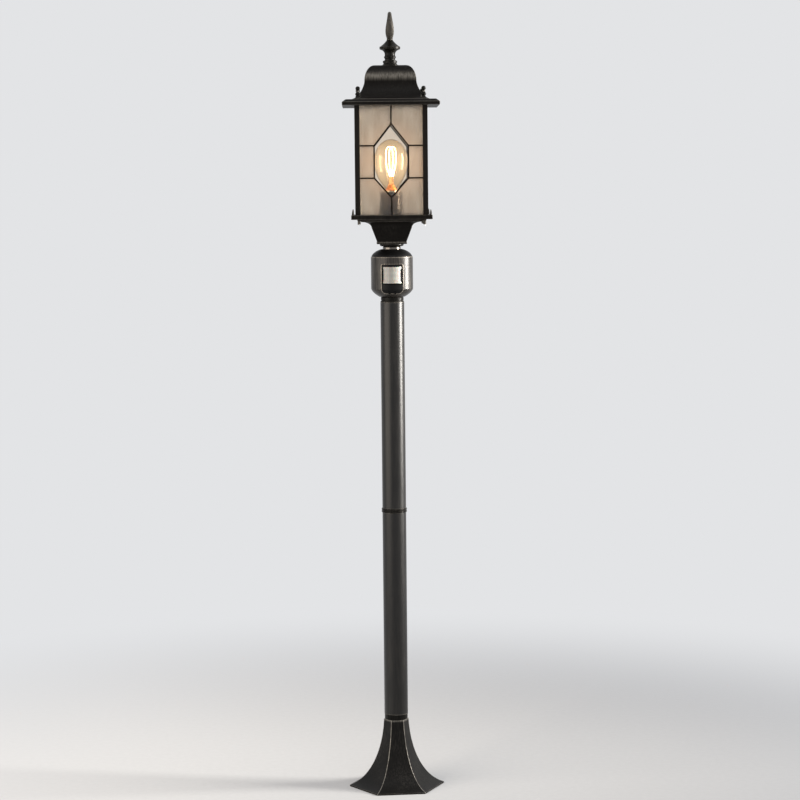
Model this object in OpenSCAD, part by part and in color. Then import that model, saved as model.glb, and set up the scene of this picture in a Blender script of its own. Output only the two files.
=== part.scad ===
// Lantern floor lamp: hexagonal flared foot, two-piece round pole, a motion-sensor head that turns
// on its stem, and a square leaded-glass lantern with a bell-shaped roof, finial and loop.
// Millimetres, +Z up, origin on the ground at the pole's axis, front towards -Y.

/* [Foot] */
// Radius of the hexagonal foot on the ground, centre to corner
foot_corner_r = 93; // [80:1:110]
// Radius of the foot's neck, centre to corner
foot_neck_r = 24.5; // [24:0.5:30]
// Height of the foot
foot_h = 132.5; // [110:0.5:180]
// Height of the upright edge that stands on the ground
foot_edge_h = 3; // [2:0.5:5]
// Wall of the cast foot
foot_wall = 4; // [3:0.25:5]
// Outside radius of the ground ring inside the foot
ring_r = 60; // [56:0.5:62]
// Radius of the cable opening in the ground ring
ring_hole_r = 30; // [20:1:32]
// Thickness of the ground ring
ring_t = 4; // [3:0.5:5]
// Pitch circle of the anchor holes
anchor_pcd = 80; // [78:1:84]
// Radius of an anchor hole
anchor_hole_r = 4.25; // [3:0.25:4.5]
// Radius of the screws that hold the foot to the ring
foot_screw_r = 2.5; // [2:0.25:3]

/* [Pole] */
// Outside diameter of the pole tubes
pole_d = 46; // [42:0.5:50]
// Wall of the pole tubes
pole_wall = 2; // [1.5:0.1:3]
// Visible length of the lower tube
lower_pole_h = 396.1; // [200:0.1:600]
// Visible length of the upper tube
upper_pole_h = 399; // [200:1:600]
// Height of the collar between foot and lower tube
foot_collar_h = 11; // [8:0.5:16]
// Height of the ring between the tubes
joint_ring_h = 8.4; // [6:0.1:14]
// How far the joint ring stands out from the tubes
joint_ring_out = 1.4; // [0.8:0.1:3]
// Height of the collar under the sensor head
head_collar_h = 10.6; // [8:0.1:16]
// Height of the raised band at the foot of that collar
head_band_h = 2.2; // [1:0.1:4]
// Length of the spigots inside the tubes
spigot_h = 25; // [15:1:40]
// Radius of the threaded pipe that ties the pieces together
stem_r = 8; // [6:0.5:9]
// Bore radius of that pipe
stem_bore_r = 6; // [4:0.5:6]

/* [Sensor head] */
// Radius of the head
head_r = 40.4; // [36:0.1:46]
// Radius of the flat under the head
head_foot_r = 24.3; // [22:0.1:28]
// Height of the rounded underside
head_curve_h = 15.4; // [12:0.1:20]
// Height of the head's body, underside included
head_h = 77.3; // [74:0.1:90]
// Wall of the head
head_wall = 2.2; // [1.8:0.1:3]
// Height of the domed cap
cap_h = 14; // [10:0.5:20]
// Radius of the flat on top of the cap
cap_top_r = 19.8; // [19:0.1:24]
// Width of the sensor window
window_w = 41; // [36:0.5:44]
// Height of the window above the underside
window_z = 6.8; // [5:0.1:10]
// Height of the window
window_h = 56.5; // [50:0.5:60]
// Width of the lens
lens_w = 35; // [30:0.5:36]
// Height of the lens
lens_h = 31.1; // [28:0.1:34]
// Height of the lens above the underside of the head
lens_z = 27; // [26:0.1:29]
// Radius of the lens curve
lens_r = 24; // [20:0.5:30]
// Radius of an adjusting dial
dial_r = 2.8; // [2:0.1:3]
// Distance of the dials from the middle
dial_x = 5.5; // [4:0.1:6]
// Radius of the bright spacer above the cap
spacer_r = 17.3; // [12:0.1:19]
// Height of the bright spacer
spacer_h = 5.7; // [3:0.1:8]
// Radius of the dark ring under the lantern's neck
neck_ring_r = 23.1; // [19:0.1:26]
// Height of the dark ring
neck_ring_h = 4.5; // [3:0.1:8]

/* [Lantern] */
// Height of the square neck under the tray
neck_h = 45; // [40:0.1:60]
// Half width of the neck at its foot
neck_foot_half = 26.4; // [24:0.1:30]
// Half width of the neck under its cove
neck_waist_half = 35.9; // [32:0.1:40]
// Thickness of the neck's flange
neck_flange_h = 2.2; // [1.5:0.1:4]
// Height of the cove under that flange
neck_cove_h = 10.8; // [8:0.1:14]
// Wall of the neck
neck_wall = 3; // [2.5:0.1:4]
// Half width of the lantern's corner posts
body_half = 69; // [66:0.5:72]
// Height of the glass above the tray's rim
glass_h = 206.8; // [190:0.1:240]
// How far a corner angle laps over the glass
post_lap = 0.4; // [0.3:0.1:2]
// Thickness of the corner angles
post_t = 2; // [1.5:0.1:2.5]
// Thickness of the glass
glass_t = 3; // [2.5:0.1:3.5]
// Outside depth of the tray
tray_h = 8.3; // [7:0.1:12]
// Height of the narrower step under the tray
tray_step_h = 2.4; // [1.5:0.1:4]
// Thickness of the tray's rim
rim_t = 4.3; // [3:0.1:6]
// Floor of the tray
floor_t = 3; // [2:0.5:4]
// Height of the points on the tray's corners
spike_h = 10.2; // [8:0.1:16]
// Radius of the tie rods
rod_r = 2; // [1.5:0.1:2.4]

/* [Leaded glass] */
// Half width of the clear hexagon
hex_half_w = 32.3; // [24:0.1:40]
// Height of the hexagon's lower point above the tray's rim
hex_bottom = 33; // [20:1:40]
// Height of the hexagon's lower corners above the tray's rim
hex_low = 69.7; // [60:0.1:80]
// Height of the hexagon's upper corners above the tray's rim
hex_high = 130.7; // [120:0.1:140]
// Height of the hexagon's upper point above the tray's rim
hex_top = 171.8; // [160:0.1:180]
// Width of a came's face
came_w = 2.8; // [2:0.1:5]
// Width of a came's web between two panes
came_web = 1; // [0.8:0.1:1.5]
// Thickness of a came's face
came_t = 1; // [0.8:0.1:1.1]

/* [Roof] */
// How far the brim stands out from the corner posts
brim_out = 19; // [14:0.5:26]
// Height of the brim
brim_h = 11.1; // [9:0.1:16]
// Width of the bevel on the brim's top edge
brim_bevel_w = 7; // [4:0.5:10]
// Height of that bevel
brim_bevel_h = 4.5; // [2:0.1:5]
// How far the bell's foot stands out from the corner posts
bell_foot_out = 3; // [1:0.5:6]
// Half width of the bell's waist
bell_waist_half = 47.2; // [44:0.1:50]
// Half width of the flat on top of the bell
bell_top_half = 27.7; // [24:0.1:32]
// Height of the flared part of the bell
bell_flare_h = 35; // [30:1:44]
// Height of the domed part of the bell
bell_dome_h = 30.4; // [24:0.1:36]
// Wall of the bell
bell_wall = 3; // [2:0.1:4]
// Radius of the ball on a roof nut
knob_r = 4.3; // [3.5:0.1:5]
// Height of a roof nut
knob_h = 23; // [20:0.5:26]

/* [Finial] */
// Height of the turned finial
finial_h = 48.8; // [40:0.1:60]
// Radius of the finial's foot
finial_foot_r = 17.2; // [14:0.1:20]
// Radius of the finial's widest rim
finial_rim_r = 19.8; // [16:0.1:24]
// Radius of the finial's narrow neck
finial_neck_r = 9.9; // [8:0.1:11]
// Radius of the finial's tip under the loop
finial_tip_r = 5.7; // [5:0.1:7]
// Height of the loop
loop_h = 53.5; // [44:0.5:64]
// Depth of the loop, front to back
loop_d = 44; // [36:1:50]
// Thickness of the loop's strand in the loop's own plane
loop_t = 9; // [7:0.5:10]

/* [Lamp] */
// Outside radius of the lampholder
holder_r = 21.3; // [19:0.1:24]
// Height of the lampholder above the tray's floor
holder_h = 48.5; // [44:0.5:54]
// Thread radius of the bulb's cap
cap_thread_r = 13.1; // [12.5:0.1:13.2]
// Widest radius of the bulb
bulb_r = 29; // [26:0.5:32]
// Height of the bulb's glass
bulb_h = 98.2; // [90:0.1:120]
// Thickness of the bulb's glass
bulb_wall = 1; // [0.8:0.1:1.5]

/* [Hidden] */
$fn = 96;

cast_iron = "#2b2a29";
worn_metal = "#4a4845";
bright_metal = "#b9b6b0";
frosted = "#b4a892";
clear_glass = "#e6dcc4";
black_plastic = "#151515";

slack = 0.3;      // gap between pieces that move past each other
snug = 0.1;       // gap between pieces that are fitted together
thread_gap = 0.05; // gap between a thread and its nut
past = 1;         // how far a cut runs past the piece it cuts
thread_grip = 12; // length of pipe inside a threaded hole
screw_head_h = 3;
nut_h = 6;
stem_nut_across = stem_r * 2 + 9;

// Heights of the seats, from the ground up
foot_top = foot_h;
lower_pole_z = foot_top + foot_collar_h;
joint_z = lower_pole_z + lower_pole_h;
upper_pole_z = joint_z + joint_ring_h;
head_collar_z = upper_pole_z + upper_pole_h;
head_z = head_collar_z + head_collar_h;
cap_z = head_z + head_h;
spacer_z = cap_z + cap_h;
neck_ring_z = spacer_z + spacer_h;
neck_z = neck_ring_z + neck_ring_h;
tray_step_z = neck_z + neck_h;
tray_z = tray_step_z + tray_step_h;
tray_floor_z = tray_z + floor_t;
rim_z = tray_z + tray_h;
frame_z = rim_z + glass_h;
frame_t = 3;
brim_skirt = frame_t + slack + 0.4;
brim_z = frame_z - 0.4;
bell_z = brim_z + brim_h;
waist_z = bell_z + bell_flare_h;
bell_top_z = waist_z + bell_dome_h;
loop_z = bell_top_z + finial_h;

pole_r = pole_d / 2;
bore_r = pole_r - pole_wall;
glass_out = body_half - post_t - 0.2;
glass_in = glass_out - glass_t;
rod_pos = glass_in - 1.8;
glass_half = rod_pos - rod_r - 0.2;
post_edge = glass_half - post_lap;
tie_nut_h = 7;
tie_nut_across = rod_r * 2.5;
neck_flange_half = rod_pos - tie_nut_across / 2 / cos(30) - slack;
tray_screw_r = 2;
tray_screw_pos = neck_flange_half - 16;
tray_screw_grip = 4.5;
tray_step_half = rod_pos + tie_nut_across / 2 / cos(30) + 1;
nipple_r = 5;
finial_stud_r = 4;
finial_stud_h = bell_wall + nut_h + 2;
brim_half = body_half + brim_out;
bell_foot_half = body_half + bell_foot_out;
holder_top = tray_floor_z + holder_h;
socket_r = cap_thread_r + slack;
cap_seat_z = holder_top - 30;
glass_foot_z = holder_top + 2.8;

// ---- curves and skins ----

function mix(a, b, t) = a + (b - a) * t;

// Point on a cubic curve with four control points
function bezier(p, t) =
    pow(1 - t, 3) * p[0] + 3 * pow(1 - t, 2) * t * p[1] + 3 * (1 - t) * t * t * p[2] + pow(t, 3) * p[3];

function curve(p, steps) = [for (i = [0:steps]) bezier(p, i / steps)];

// Direction of that curve
function bezier_dir(p, t) =
    let (d = pow(1 - t, 2) * (p[1] - p[0]) + 2 * (1 - t) * t * (p[2] - p[1]) + t * t * (p[3] - p[2]))
    d / norm(d);

// Part of an ellipse, as [radius, height] points
function arc(centre, wide, tall, from, to, steps) = [
    for (i = [0:steps]) let (a = mix(from, to, i / steps)) centre + [wide * cos(a), tall * sin(a)]];

// Ring of a prism with rounded corners: apothem, corner rounding and height
function prism_ring(sides, turn, apothem, rounding, z, steps = 2) = [
    for (q = [0:sides - 1])
        let (mid = turn + 360 * q / sides, c = (apothem - rounding) / cos(180 / sides))
        for (i = [0:steps])
            let (a = mid + 360 / sides * (i / steps - 0.5))
            [c * cos(mid) + rounding * cos(a), c * sin(mid) + rounding * sin(a), z]];

// Square and hexagonal lofts over [half width, height] points, flat side to the front
function square_rings(points, rounding) = [for (p = points) prism_ring(4, 45, p[0], rounding, p[1])];
function hex_rings(points, rounding) = [for (p = points) prism_ring(6, 0, p[0], rounding, p[1])];

// Skin over rings of equal length, capped at both ends or joined into a closed loop
module skin(rings, closed = false) {
    n = len(rings[0]);
    m = len(rings);
    caps = closed ? [] : [[for (i = [0:n - 1]) i], [for (i = [n - 1:-1:0]) (m - 1) * n + i]];
    sides = [
        for (k = [0:m - (closed ? 1 : 2)]) for (i = [0:n - 1])
            let (a = k * n, b = (k + 1) % m * n, j = (i + 1) % n)
            each [[a + i, b + i, b + j], [a + i, b + j, a + j]]];
    polyhedron(points = [for (r = rings) each r], faces = concat(caps, sides));
}

module tube(r, inner, h) {
    difference() {
        cylinder(h = h, r = r);
        translate([0, 0, -past]) cylinder(h = h + 2 * past, r = inner);
    }
}

module at_corners(distance) {
    for (x = [-1, 1]) for (y = [-1, 1]) translate([x * distance, y * distance, 0]) children();
}

module hex_nut(across, h, hole_r) {
    difference() {
        cylinder(h = h, r = across / 2 / cos(30), $fn = 6);
        translate([0, 0, -past]) cylinder(h = h + 2 * past, r = hole_r, $fn = 48);
    }
}

// ---- foot ----

foot_curve = [
    [foot_corner_r, foot_edge_h],
    [mix(foot_neck_r, foot_corner_r, 0.38), foot_h * 0.12],
    [foot_neck_r + 2.5, foot_h * 0.55],
    [foot_neck_r, foot_h]];
foot_profile = [for (p = curve(foot_curve, 16)) [p[0] * cos(30), p[1]]];
foot_floor_t = 5;
wall_shift = foot_wall * [1.2, 0.5];   // from the outer to the inner skin of the flared wall
lug_angles = [30, 150];
lug_w = 14;
lug_z = 11;
lug_top = lug_z + foot_screw_r * 2;
anchor_angles = [90, 210, 330];

// Inside half width of the foot at a height
function foot_inside(z) = lookup(z + wall_shift[1], [for (p = foot_profile) [p[1], p[0]]]) - wall_shift[0];

lug_out = foot_inside(lug_top) - slack;
screw_seat = foot_inside(lug_z) + foot_wall * 0.75;

module foot() {
    inside = [for (p = foot_profile) if (p[1] < foot_h - foot_floor_t - 1) p - wall_shift];
    color(cast_iron) difference() {
        skin(concat(
            hex_rings([[foot_profile[0][0], 0]], 1.2),
            hex_rings(foot_profile, 1.2)));
        skin(concat(
            hex_rings([[inside[0][0], -past]], 1),
            hex_rings(inside, 1),
            hex_rings([[inside[len(inside) - 1][0] - 1, foot_h - foot_floor_t]], 1)));
        translate([0, 0, foot_h / 2]) cylinder(h = foot_h, r = stem_r + snug);
        for (a = lug_angles) rotate([0, 0, a]) translate([0, 0, lug_z]) rotate([0, 90, 0]) {
            cylinder(h = foot_corner_r, r = foot_screw_r + slack, $fn = 12);
            translate([0, 0, screw_seat])
                cylinder(h = foot_corner_r, r = foot_screw_r * 2 + slack, $fn = 12);
        }
    }
}

module ground_ring() {
    color(worn_metal) difference() {
        union() {
            cylinder(h = ring_t, r = ring_r);
            for (a = lug_angles) rotate([0, 0, a])
                translate([lug_out - ring_t, -lug_w / 2, 0]) cube([ring_t, lug_w, lug_top]);
        }
        translate([0, 0, -past]) cylinder(h = ring_t + 2 * past, r = ring_hole_r);
        for (a = anchor_angles) rotate([0, 0, a])
            translate([anchor_pcd / 2, 0, -past]) cylinder(h = ring_t + 2 * past, r = anchor_hole_r);
        for (a = lug_angles) rotate([0, 0, a]) translate([0, 0, lug_z]) rotate([0, 90, 0])
            cylinder(h = foot_corner_r, r = foot_screw_r + snug, $fn = 32);
    }
}

module foot_screws() {
    shank = screw_seat - lug_out + ring_t + 2;
    color(bright_metal) for (a = lug_angles)
        rotate([0, 0, a]) translate([screw_seat, 0, lug_z]) rotate([0, 90, 0]) {
            translate([0, 0, -shank]) cylinder(h = shank, r = foot_screw_r, $fn = 32);
            difference() {
                cylinder(h = screw_head_h, r = foot_screw_r * 1.8, $fn = 48);
                translate([0, 0, screw_head_h / 2]) cylinder(h = screw_head_h, r = foot_screw_r, $fn = 6);
            }
        }
}

// Threaded pipe and its nut, which pull the collar down on the foot
module foot_nipple() {
    low = foot_h - foot_floor_t - nut_h - 3;
    color(bright_metal) {
        translate([0, 0, low]) tube(stem_r, stem_bore_r, lower_pole_z + thread_grip - low);
        translate([0, 0, foot_h - foot_floor_t - nut_h])
            hex_nut(stem_nut_across, nut_h, stem_r + thread_gap);
    }
}

// ---- pole ----

module foot_collar() {
    color(cast_iron) difference() {
        union() {
            translate([0, 0, foot_top]) rotate_extrude() polygon([
                [0, 0], [pole_r - 1.6, 0], [pole_r - 0.6, 1.2], [pole_r - 0.6, foot_collar_h - 2],
                [pole_r - 0.1, foot_collar_h - 1.4], [pole_r - 0.1, foot_collar_h], [0, foot_collar_h]]);
            translate([0, 0, lower_pole_z]) cylinder(h = spigot_h, r = bore_r - snug);
        }
        translate([0, 0, foot_top - past])
            cylinder(h = foot_collar_h + spigot_h + 2 * past, r = stem_r + thread_gap);
    }
}

module pole(z, h) {
    color(cast_iron) translate([0, 0, z]) tube(pole_r, bore_r, h);
}

module lower_pole() { pole(lower_pole_z, lower_pole_h); }

module upper_pole() { pole(upper_pole_z, upper_pole_h); }

module joint_ring() {
    r = pole_r + joint_ring_out;
    edge = 0.8;
    color(cast_iron) difference() {
        union() {
            translate([0, 0, joint_z]) rotate_extrude() polygon([
                [0, 0], [r - edge, 0], [r, edge], [r, joint_ring_h * 0.38], [r - edge, joint_ring_h * 0.45],
                [r - edge, joint_ring_h * 0.55], [r, joint_ring_h * 0.62], [r, joint_ring_h - edge],
                [r - edge, joint_ring_h], [0, joint_ring_h]]);
            translate([0, 0, joint_z - spigot_h])
                cylinder(h = joint_ring_h + 2 * spigot_h, r = bore_r - snug);
        }
        translate([0, 0, joint_z - spigot_h - past])
            cylinder(h = joint_ring_h + 2 * spigot_h + 2 * past, r = bore_r - 4);
    }
}

module head_collar() {
    r = pole_r - 1.1;
    h = head_collar_h;
    color(cast_iron) difference() {
        union() {
            translate([0, 0, head_collar_z]) rotate_extrude() polygon([
                [0, 0], [pole_r - 0.3, 0], [pole_r - 0.3, head_band_h], [r - 0.8, head_band_h + 0.5],
                [r - 0.8, head_band_h + 1.2], [r, head_band_h + 1.8], [r, h - 1.6], [r - 1.2, h - 0.6],
                [r - 2.8, h - 0.6], [r - 2.8, h], [0, h]]);
            translate([0, 0, head_collar_z - spigot_h]) cylinder(h = spigot_h + past, r = bore_r - snug);
        }
        translate([0, 0, head_collar_z - spigot_h - past])
            cylinder(h = head_collar_h + spigot_h + 2 * past, r = stem_r + thread_gap);
    }
}

// Pipe from the pole's top collar up through the sensor head into the lantern's neck
stem_low = head_z - head_collar_h - thread_grip;
stem_high = neck_z + neck_wall + nut_h + 2;

module stem() {
    color(bright_metal) translate([0, 0, stem_low]) tube(stem_r, stem_bore_r, stem_high - stem_low);
}

module stem_nut() {
    color(bright_metal) translate([0, 0, neck_z + neck_wall])
        hex_nut(stem_nut_across, nut_h, stem_r + thread_gap);
}

module spacer() {
    edge = 0.8;
    color(bright_metal) translate([0, 0, spacer_z]) rotate_extrude() polygon([
        [stem_r + snug, 0], [spacer_r, 0], [spacer_r, spacer_h * 0.6], [spacer_r - edge, spacer_h],
        [stem_r + snug, spacer_h]]);
}

module neck_ring() {
    edge = 1;
    color(cast_iron) translate([0, 0, neck_ring_z]) rotate_extrude() polygon([
        [stem_r + snug, 0], [neck_ring_r - 2 * edge, 0], [neck_ring_r, 2 * edge],
        [neck_ring_r, neck_ring_h], [stem_r + snug, neck_ring_h]]);
}

// ---- sensor head, turns about the stem ----

head_curve = [
    [head_foot_r, 0],
    [head_foot_r + (head_r - head_foot_r) * 0.45, head_curve_h * 0.25],
    [head_r - 1.9, head_curve_h * 0.62],
    [head_r, head_curve_h]];

// Outside of the head up to height h, grown by a margin, as [radius, height] points
function head_outline(grow, h) = concat(
    [[0, 0 - grow], [head_foot_r, 0 - grow]],
    [for (i = [0:12]) let (t = i / 12, d = bezier_dir(head_curve, t))
        bezier(head_curve, t) + grow * [d[1], -d[0]]],
    [[head_r + grow, h], [0, h]]);

// Window: upright slot with a half-round foot, cut from the front towards the stem
module window(half_w, low, high) {
    rotate([90, 0, 0]) linear_extrude(height = head_r + 5) {
        translate([0, head_z + low + half_w]) circle(r = half_w);
        translate([-half_w, head_z + low + half_w]) square([2 * half_w, high - low - half_w]);
    }
}

module sensor_housing() {
    bevel = 1.2;
    outside = head_outline(0, head_h);
    n = len(outside);
    color(worn_metal) difference() {
        translate([0, 0, head_z]) rotate_extrude() polygon(concat(
            [for (i = [0:n - 3]) outside[i]],
            [[head_r, head_h - bevel], [head_r - bevel, head_h], [0, head_h]]));
        translate([0, 0, head_z]) rotate_extrude()
            polygon(head_outline(-head_wall, head_h + past));
        translate([0, 0, head_z - past]) cylinder(h = head_wall + 2 * past, r = stem_r + slack);
        window(window_w / 2, window_z, window_z + window_h);
    }
}

module sensor_cap() {
    foot_r = head_r - 1.2;
    spigot_r = head_r - head_wall - snug;
    dome = curve([
        [foot_r, 0], [foot_r - 0.7, cap_h * 0.3], [cap_top_r + 11, cap_h * 0.84], [cap_top_r, cap_h]], 12);
    inside = curve([
        [spigot_r - head_wall, -4 - past], [spigot_r - head_wall, cap_h * 0.3],
        [cap_top_r + 9, cap_h - head_wall], [cap_top_r - 3, cap_h - head_wall]], 12);
    color(black_plastic) translate([0, 0, cap_z]) difference() {
        union() {
            rotate_extrude() polygon(concat([[0, 0]], dome, [[0, cap_h]]));
            translate([0, 0, -4]) cylinder(h = 4 + past, r = spigot_r);
        }
        rotate_extrude() polygon(concat([[0, -4 - past]], inside, [[0, cap_h - head_wall]]));
        cylinder(h = cap_h + past, r = stem_r + slack);
    }
}

insert_t = 3.4;
insert_out = 0.9;                    // how far the insert's chin stands out of the housing
insert_half = window_w / 2 - 0.2;
lens_y = head_r + 1.4 - lens_r;      // the lens' own axis lies this far in front of the stem
board_y = 17;
board_t = 1.6;
rib_t = 1.8;

// Black carrier in the window: it frames the lens, and its chin follows the head's underside
module sensor_insert() {
    low = window_z + 0.2;
    high = window_z + window_h - 0.2;
    color(black_plastic) difference() {
        union() {
            intersection() {
                translate([0, 0, head_z]) rotate_extrude() difference() {
                    polygon(head_outline(insert_out, head_h));
                    polygon(head_outline(insert_out - insert_t, head_h + past));
                    translate([head_r - 1.4, lens_z - 2]) square([5, head_h]);
                }
                window(insert_half, low, high);
            }
            for (x = [-1, 1]) translate([x * (insert_half - rib_t / 2), -head_r / 2 - board_y / 2, 0])
                translate([-rib_t / 2, -(head_r - board_y) / 2 + 6, head_z + lens_z + 4])
                    cube([rib_t, head_r - board_y - 6, lens_h - 8]);
        }
        translate([-lens_w / 2 - 0.2, -head_r - 5, head_z + lens_z - 0.2])
            cube([lens_w + 0.4, head_r - board_y, lens_h + 0.4]);
        dial_places() translate([0, 0, -insert_t * 3])
            cylinder(h = insert_t * 5, r = dial_r + snug, $fn = 48);
    }
}

module sensor_lens() {
    color("#c9c7bf") intersection() {
        translate([0, -lens_y, head_z + lens_z]) tube(lens_r, lens_r - 1.2, lens_h);
        translate([-lens_w / 2, -head_r - 5, head_z]) cube([lens_w, head_r - board_y - 3, head_h]);
    }
}

// Circuit board on the insert's ribs, with the infrared element behind the lens
module sensor_board() {
    element_r = 4.6;
    element_h = 4;
    color("#2f5d3a") translate([-insert_half, -board_y, head_z + lens_z - 2])
        cube([insert_half * 2, board_t, lens_h + 4]);
    color(bright_metal) translate([0, -board_y, head_z + lens_z + lens_h / 2]) rotate([90, 0, 0])
        cylinder(h = element_h, r = element_r, $fn = 48);
}

// Places of the two dials: on the insert's chin, square to its curved face
dial_at = 0.66;
dial_point = bezier(head_curve, dial_at);
dial_dir = bezier_dir(head_curve, dial_at);
dial_tilt = atan2(dial_dir[0], dial_dir[1]);   // how far the chin leans under the head

module dial_place(side) {
    translate([side * dial_x, -dial_point[0], head_z + dial_point[1]]) rotate([90 + dial_tilt, 0, 0])
        translate([0, 0, insert_out]) children();
}

module dial_places() {
    for (side = [-1, 1]) dial_place(side) children();
}

module dial(side) {
    out = 0.8;
    color(black_plastic) dial_place(side) difference() {
        translate([0, 0, -insert_t - 1]) cylinder(h = insert_t + 1 + out, r = dial_r, $fn = 48);
        translate([-dial_r - past, -0.4, 0]) cube([dial_r * 2 + 2 * past, 0.8, out + past]);
    }
}

module dial_time() { dial(-1); }

module dial_light() { dial(1); }

// ---- lantern ----

module lantern_neck() {
    lip_h = 3.4;
    flange_z = neck_h - neck_flange_h;
    cove_z = flange_z - neck_cove_h;
    inner_half = neck_waist_half + 1;
    outside = concat(
        [[neck_foot_half - 0.9, 0], [neck_foot_half, 0.9], [neck_foot_half, lip_h],
         [neck_foot_half - 0.6, lip_h + 0.8], [neck_foot_half + 0.2, lip_h + 3.5]],
        arc([neck_flange_half - 1, cove_z], neck_flange_half - 1 - neck_waist_half,
            neck_cove_h, 180, 90, 8),
        [[neck_flange_half, flange_z + 0.4], [neck_flange_half, neck_h - 0.6],
         [neck_flange_half - 0.6, neck_h]]);
    inside = [
        [neck_foot_half - neck_wall, neck_wall], [neck_foot_half - neck_wall, lip_h + 3.5],
        [neck_waist_half - neck_wall, cove_z], [inner_half, neck_h - 3], [inner_half, neck_h + past]];
    color(cast_iron) translate([0, 0, neck_z]) difference() {
        skin(square_rings(outside, 0.8));
        skin(square_rings(inside, 0.8));
        translate([0, 0, -past]) cylinder(h = neck_wall + 2 * past, r = stem_r + snug);
        at_corners(tray_screw_pos) translate([0, 0, neck_h - 8])
            cylinder(h = 8 + past, r = tray_screw_r + thread_gap, $fn = 32);
    }
}

module tray() {
    spike_r = 2.1;
    half = body_half + slack + rim_t;
    step_half = tray_step_half;
    through = tray_step_h + floor_t + 2 * past;
    color(cast_iron) difference() {
        union() {
            translate([-half, -half, tray_z]) cube([2 * half, 2 * half, tray_h]);
            translate([-step_half, -step_half, tray_step_z])
                cube([2 * step_half, 2 * step_half, tray_step_h + floor_t]);
            at_corners(half - spike_r) translate([0, 0, rim_z])
                cylinder(h = spike_h, r1 = spike_r, r2 = 0.8, $fn = 32);
        }
        translate([-body_half - slack, -body_half - slack, tray_floor_z])
            cube([2 * (body_half + slack), 2 * (body_half + slack), tray_h]);
        translate([0, 0, tray_step_z - past]) {
            cylinder(h = through, r = nipple_r + snug);
            at_corners(tray_screw_pos) cylinder(h = through, r = tray_screw_r + snug, $fn = 32);
            at_corners(rod_pos) cylinder(h = through, r = rod_r + snug, $fn = 32);
        }
    }
}

module tray_screws() {
    color(bright_metal) at_corners(tray_screw_pos) {
        translate([0, 0, tray_step_z - tray_screw_grip])
            cylinder(h = tray_screw_grip + tray_step_h + floor_t, r = tray_screw_r, $fn = 32);
        translate([0, 0, tray_floor_z]) cylinder(h = 2, r = tray_screw_r * 1.8, $fn = 32);
    }
}

// Corner angle, numbered from the front right corner on
module post(index) {
    leg = body_half - post_edge;
    color(cast_iron) rotate([0, 0, 90 * index]) translate([body_half, -body_half, tray_floor_z])
        mirror([1, 0, 0]) linear_extrude(height = frame_z - tray_floor_z) polygon([
            [0, 0], [leg, 0], [leg, post_t], [post_t, post_t], [post_t, leg], [0, leg]]);
}

// Lines of the leading, as pairs of [across, up] points above the tray's rim
function lead_lines(reach, foot, head) = let (
    w = hex_half_w,
    corners = [[0, hex_top], [w, hex_high], [w, hex_low], [0, hex_bottom], [-w, hex_low], [-w, hex_high]])
    concat(
        [for (i = [0:5]) [corners[i], corners[(i + 1) % 6]]],
        [for (x = [-1, 1]) for (z = [hex_low, hex_high]) [[x * w, z], [x * reach, z]]],
        [[[0, hex_top], [0, head]], [[0, foot], [0, hex_bottom]]]);

module lead(width, reach, foot, head) {
    for (line = lead_lines(reach, foot, head)) {
        along = line[1] - line[0];
        translate(line[0]) rotate(atan2(along[1], along[0])) translate([0, -width / 2])
            square([norm(along), width]);
    }
    w = hex_half_w;
    for (p = [[0, hex_top], [w, hex_high], [w, hex_low], [0, hex_bottom], [-w, hex_low], [-w, hex_high]])
        translate(p) circle(r = width / 2, $fn = 24);
}

pane_foot = floor_t - tray_h + 0.2;
pane_head = glass_h - 0.2;

// Stands a drawing of one side up at a distance from the middle: side 0 faces the front
module on_side(side, distance, thickness) {
    rotate([0, 0, 90 * side]) translate([0, -distance, rim_z]) rotate([90, 0, 0])
        linear_extrude(height = thickness) children();
}

module hexagon() {
    w = hex_half_w;
    polygon([[0, hex_top], [-w, hex_high], [-w, hex_low], [0, hex_bottom], [w, hex_low], [w, hex_high]]);
}

module frosted_glass(side) {
    color(frosted) on_side(side, glass_in, glass_t) difference() {
        translate([-glass_half, pane_foot]) square([2 * glass_half, pane_head - pane_foot]);
        hexagon();
        lead(came_web + 2 * snug, glass_half + past, pane_foot - past, pane_head + past);
    }
}

module clear_pane(side) {
    color(clear_glass) on_side(side, glass_in, glass_t) difference() {
        hexagon();
        lead(came_web + 2 * snug, glass_half, pane_foot, pane_head);
    }
}

module cames(side) {
    color("#241c16") {
        on_side(side, glass_out, came_t) lead(came_w, post_edge - snug, 0.2, pane_head - 1);
        on_side(side, glass_in, glass_t) lead(came_web, post_edge - snug, 0.2, pane_head);
        on_side(side, glass_in - came_t, came_t) lead(came_w, glass_half - 0.4, 0.2, pane_head - 1);
    }
}

module top_frame() {
    inner = glass_in - 8;
    color(cast_iron) difference() {
        translate([-body_half, -body_half, frame_z]) cube([2 * body_half, 2 * body_half, frame_t]);
        translate([-inner, -inner, frame_z - past]) cube([2 * inner, 2 * inner, frame_t + 2 * past]);
        at_corners(rod_pos) translate([0, 0, frame_z - past])
            cylinder(h = frame_t + 2 * past, r = rod_r + snug, $fn = 32);
    }
}

rod_low = tray_step_z - tie_nut_h - 1;

// The roof nuts stand where the bell's flare is as wide as their feet
bell_edge_h = 1.2;
bell_flare_w = bell_foot_half - bell_waist_half;
knob_foot_r = knob_r + 0.6;
knob_out = (bell_foot_half - rod_pos - knob_foot_r) / bell_flare_w;
knob_z = bell_z + bell_flare_h - (bell_flare_h - bell_edge_h) * sqrt(1 - knob_out * knob_out);
rod_high = knob_z + knob_h * 0.6;

module tie_rods() {
    color(bright_metal) at_corners(rod_pos) translate([0, 0, rod_low])
        cylinder(h = rod_high - rod_low, r = rod_r, $fn = 32);
}

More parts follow.
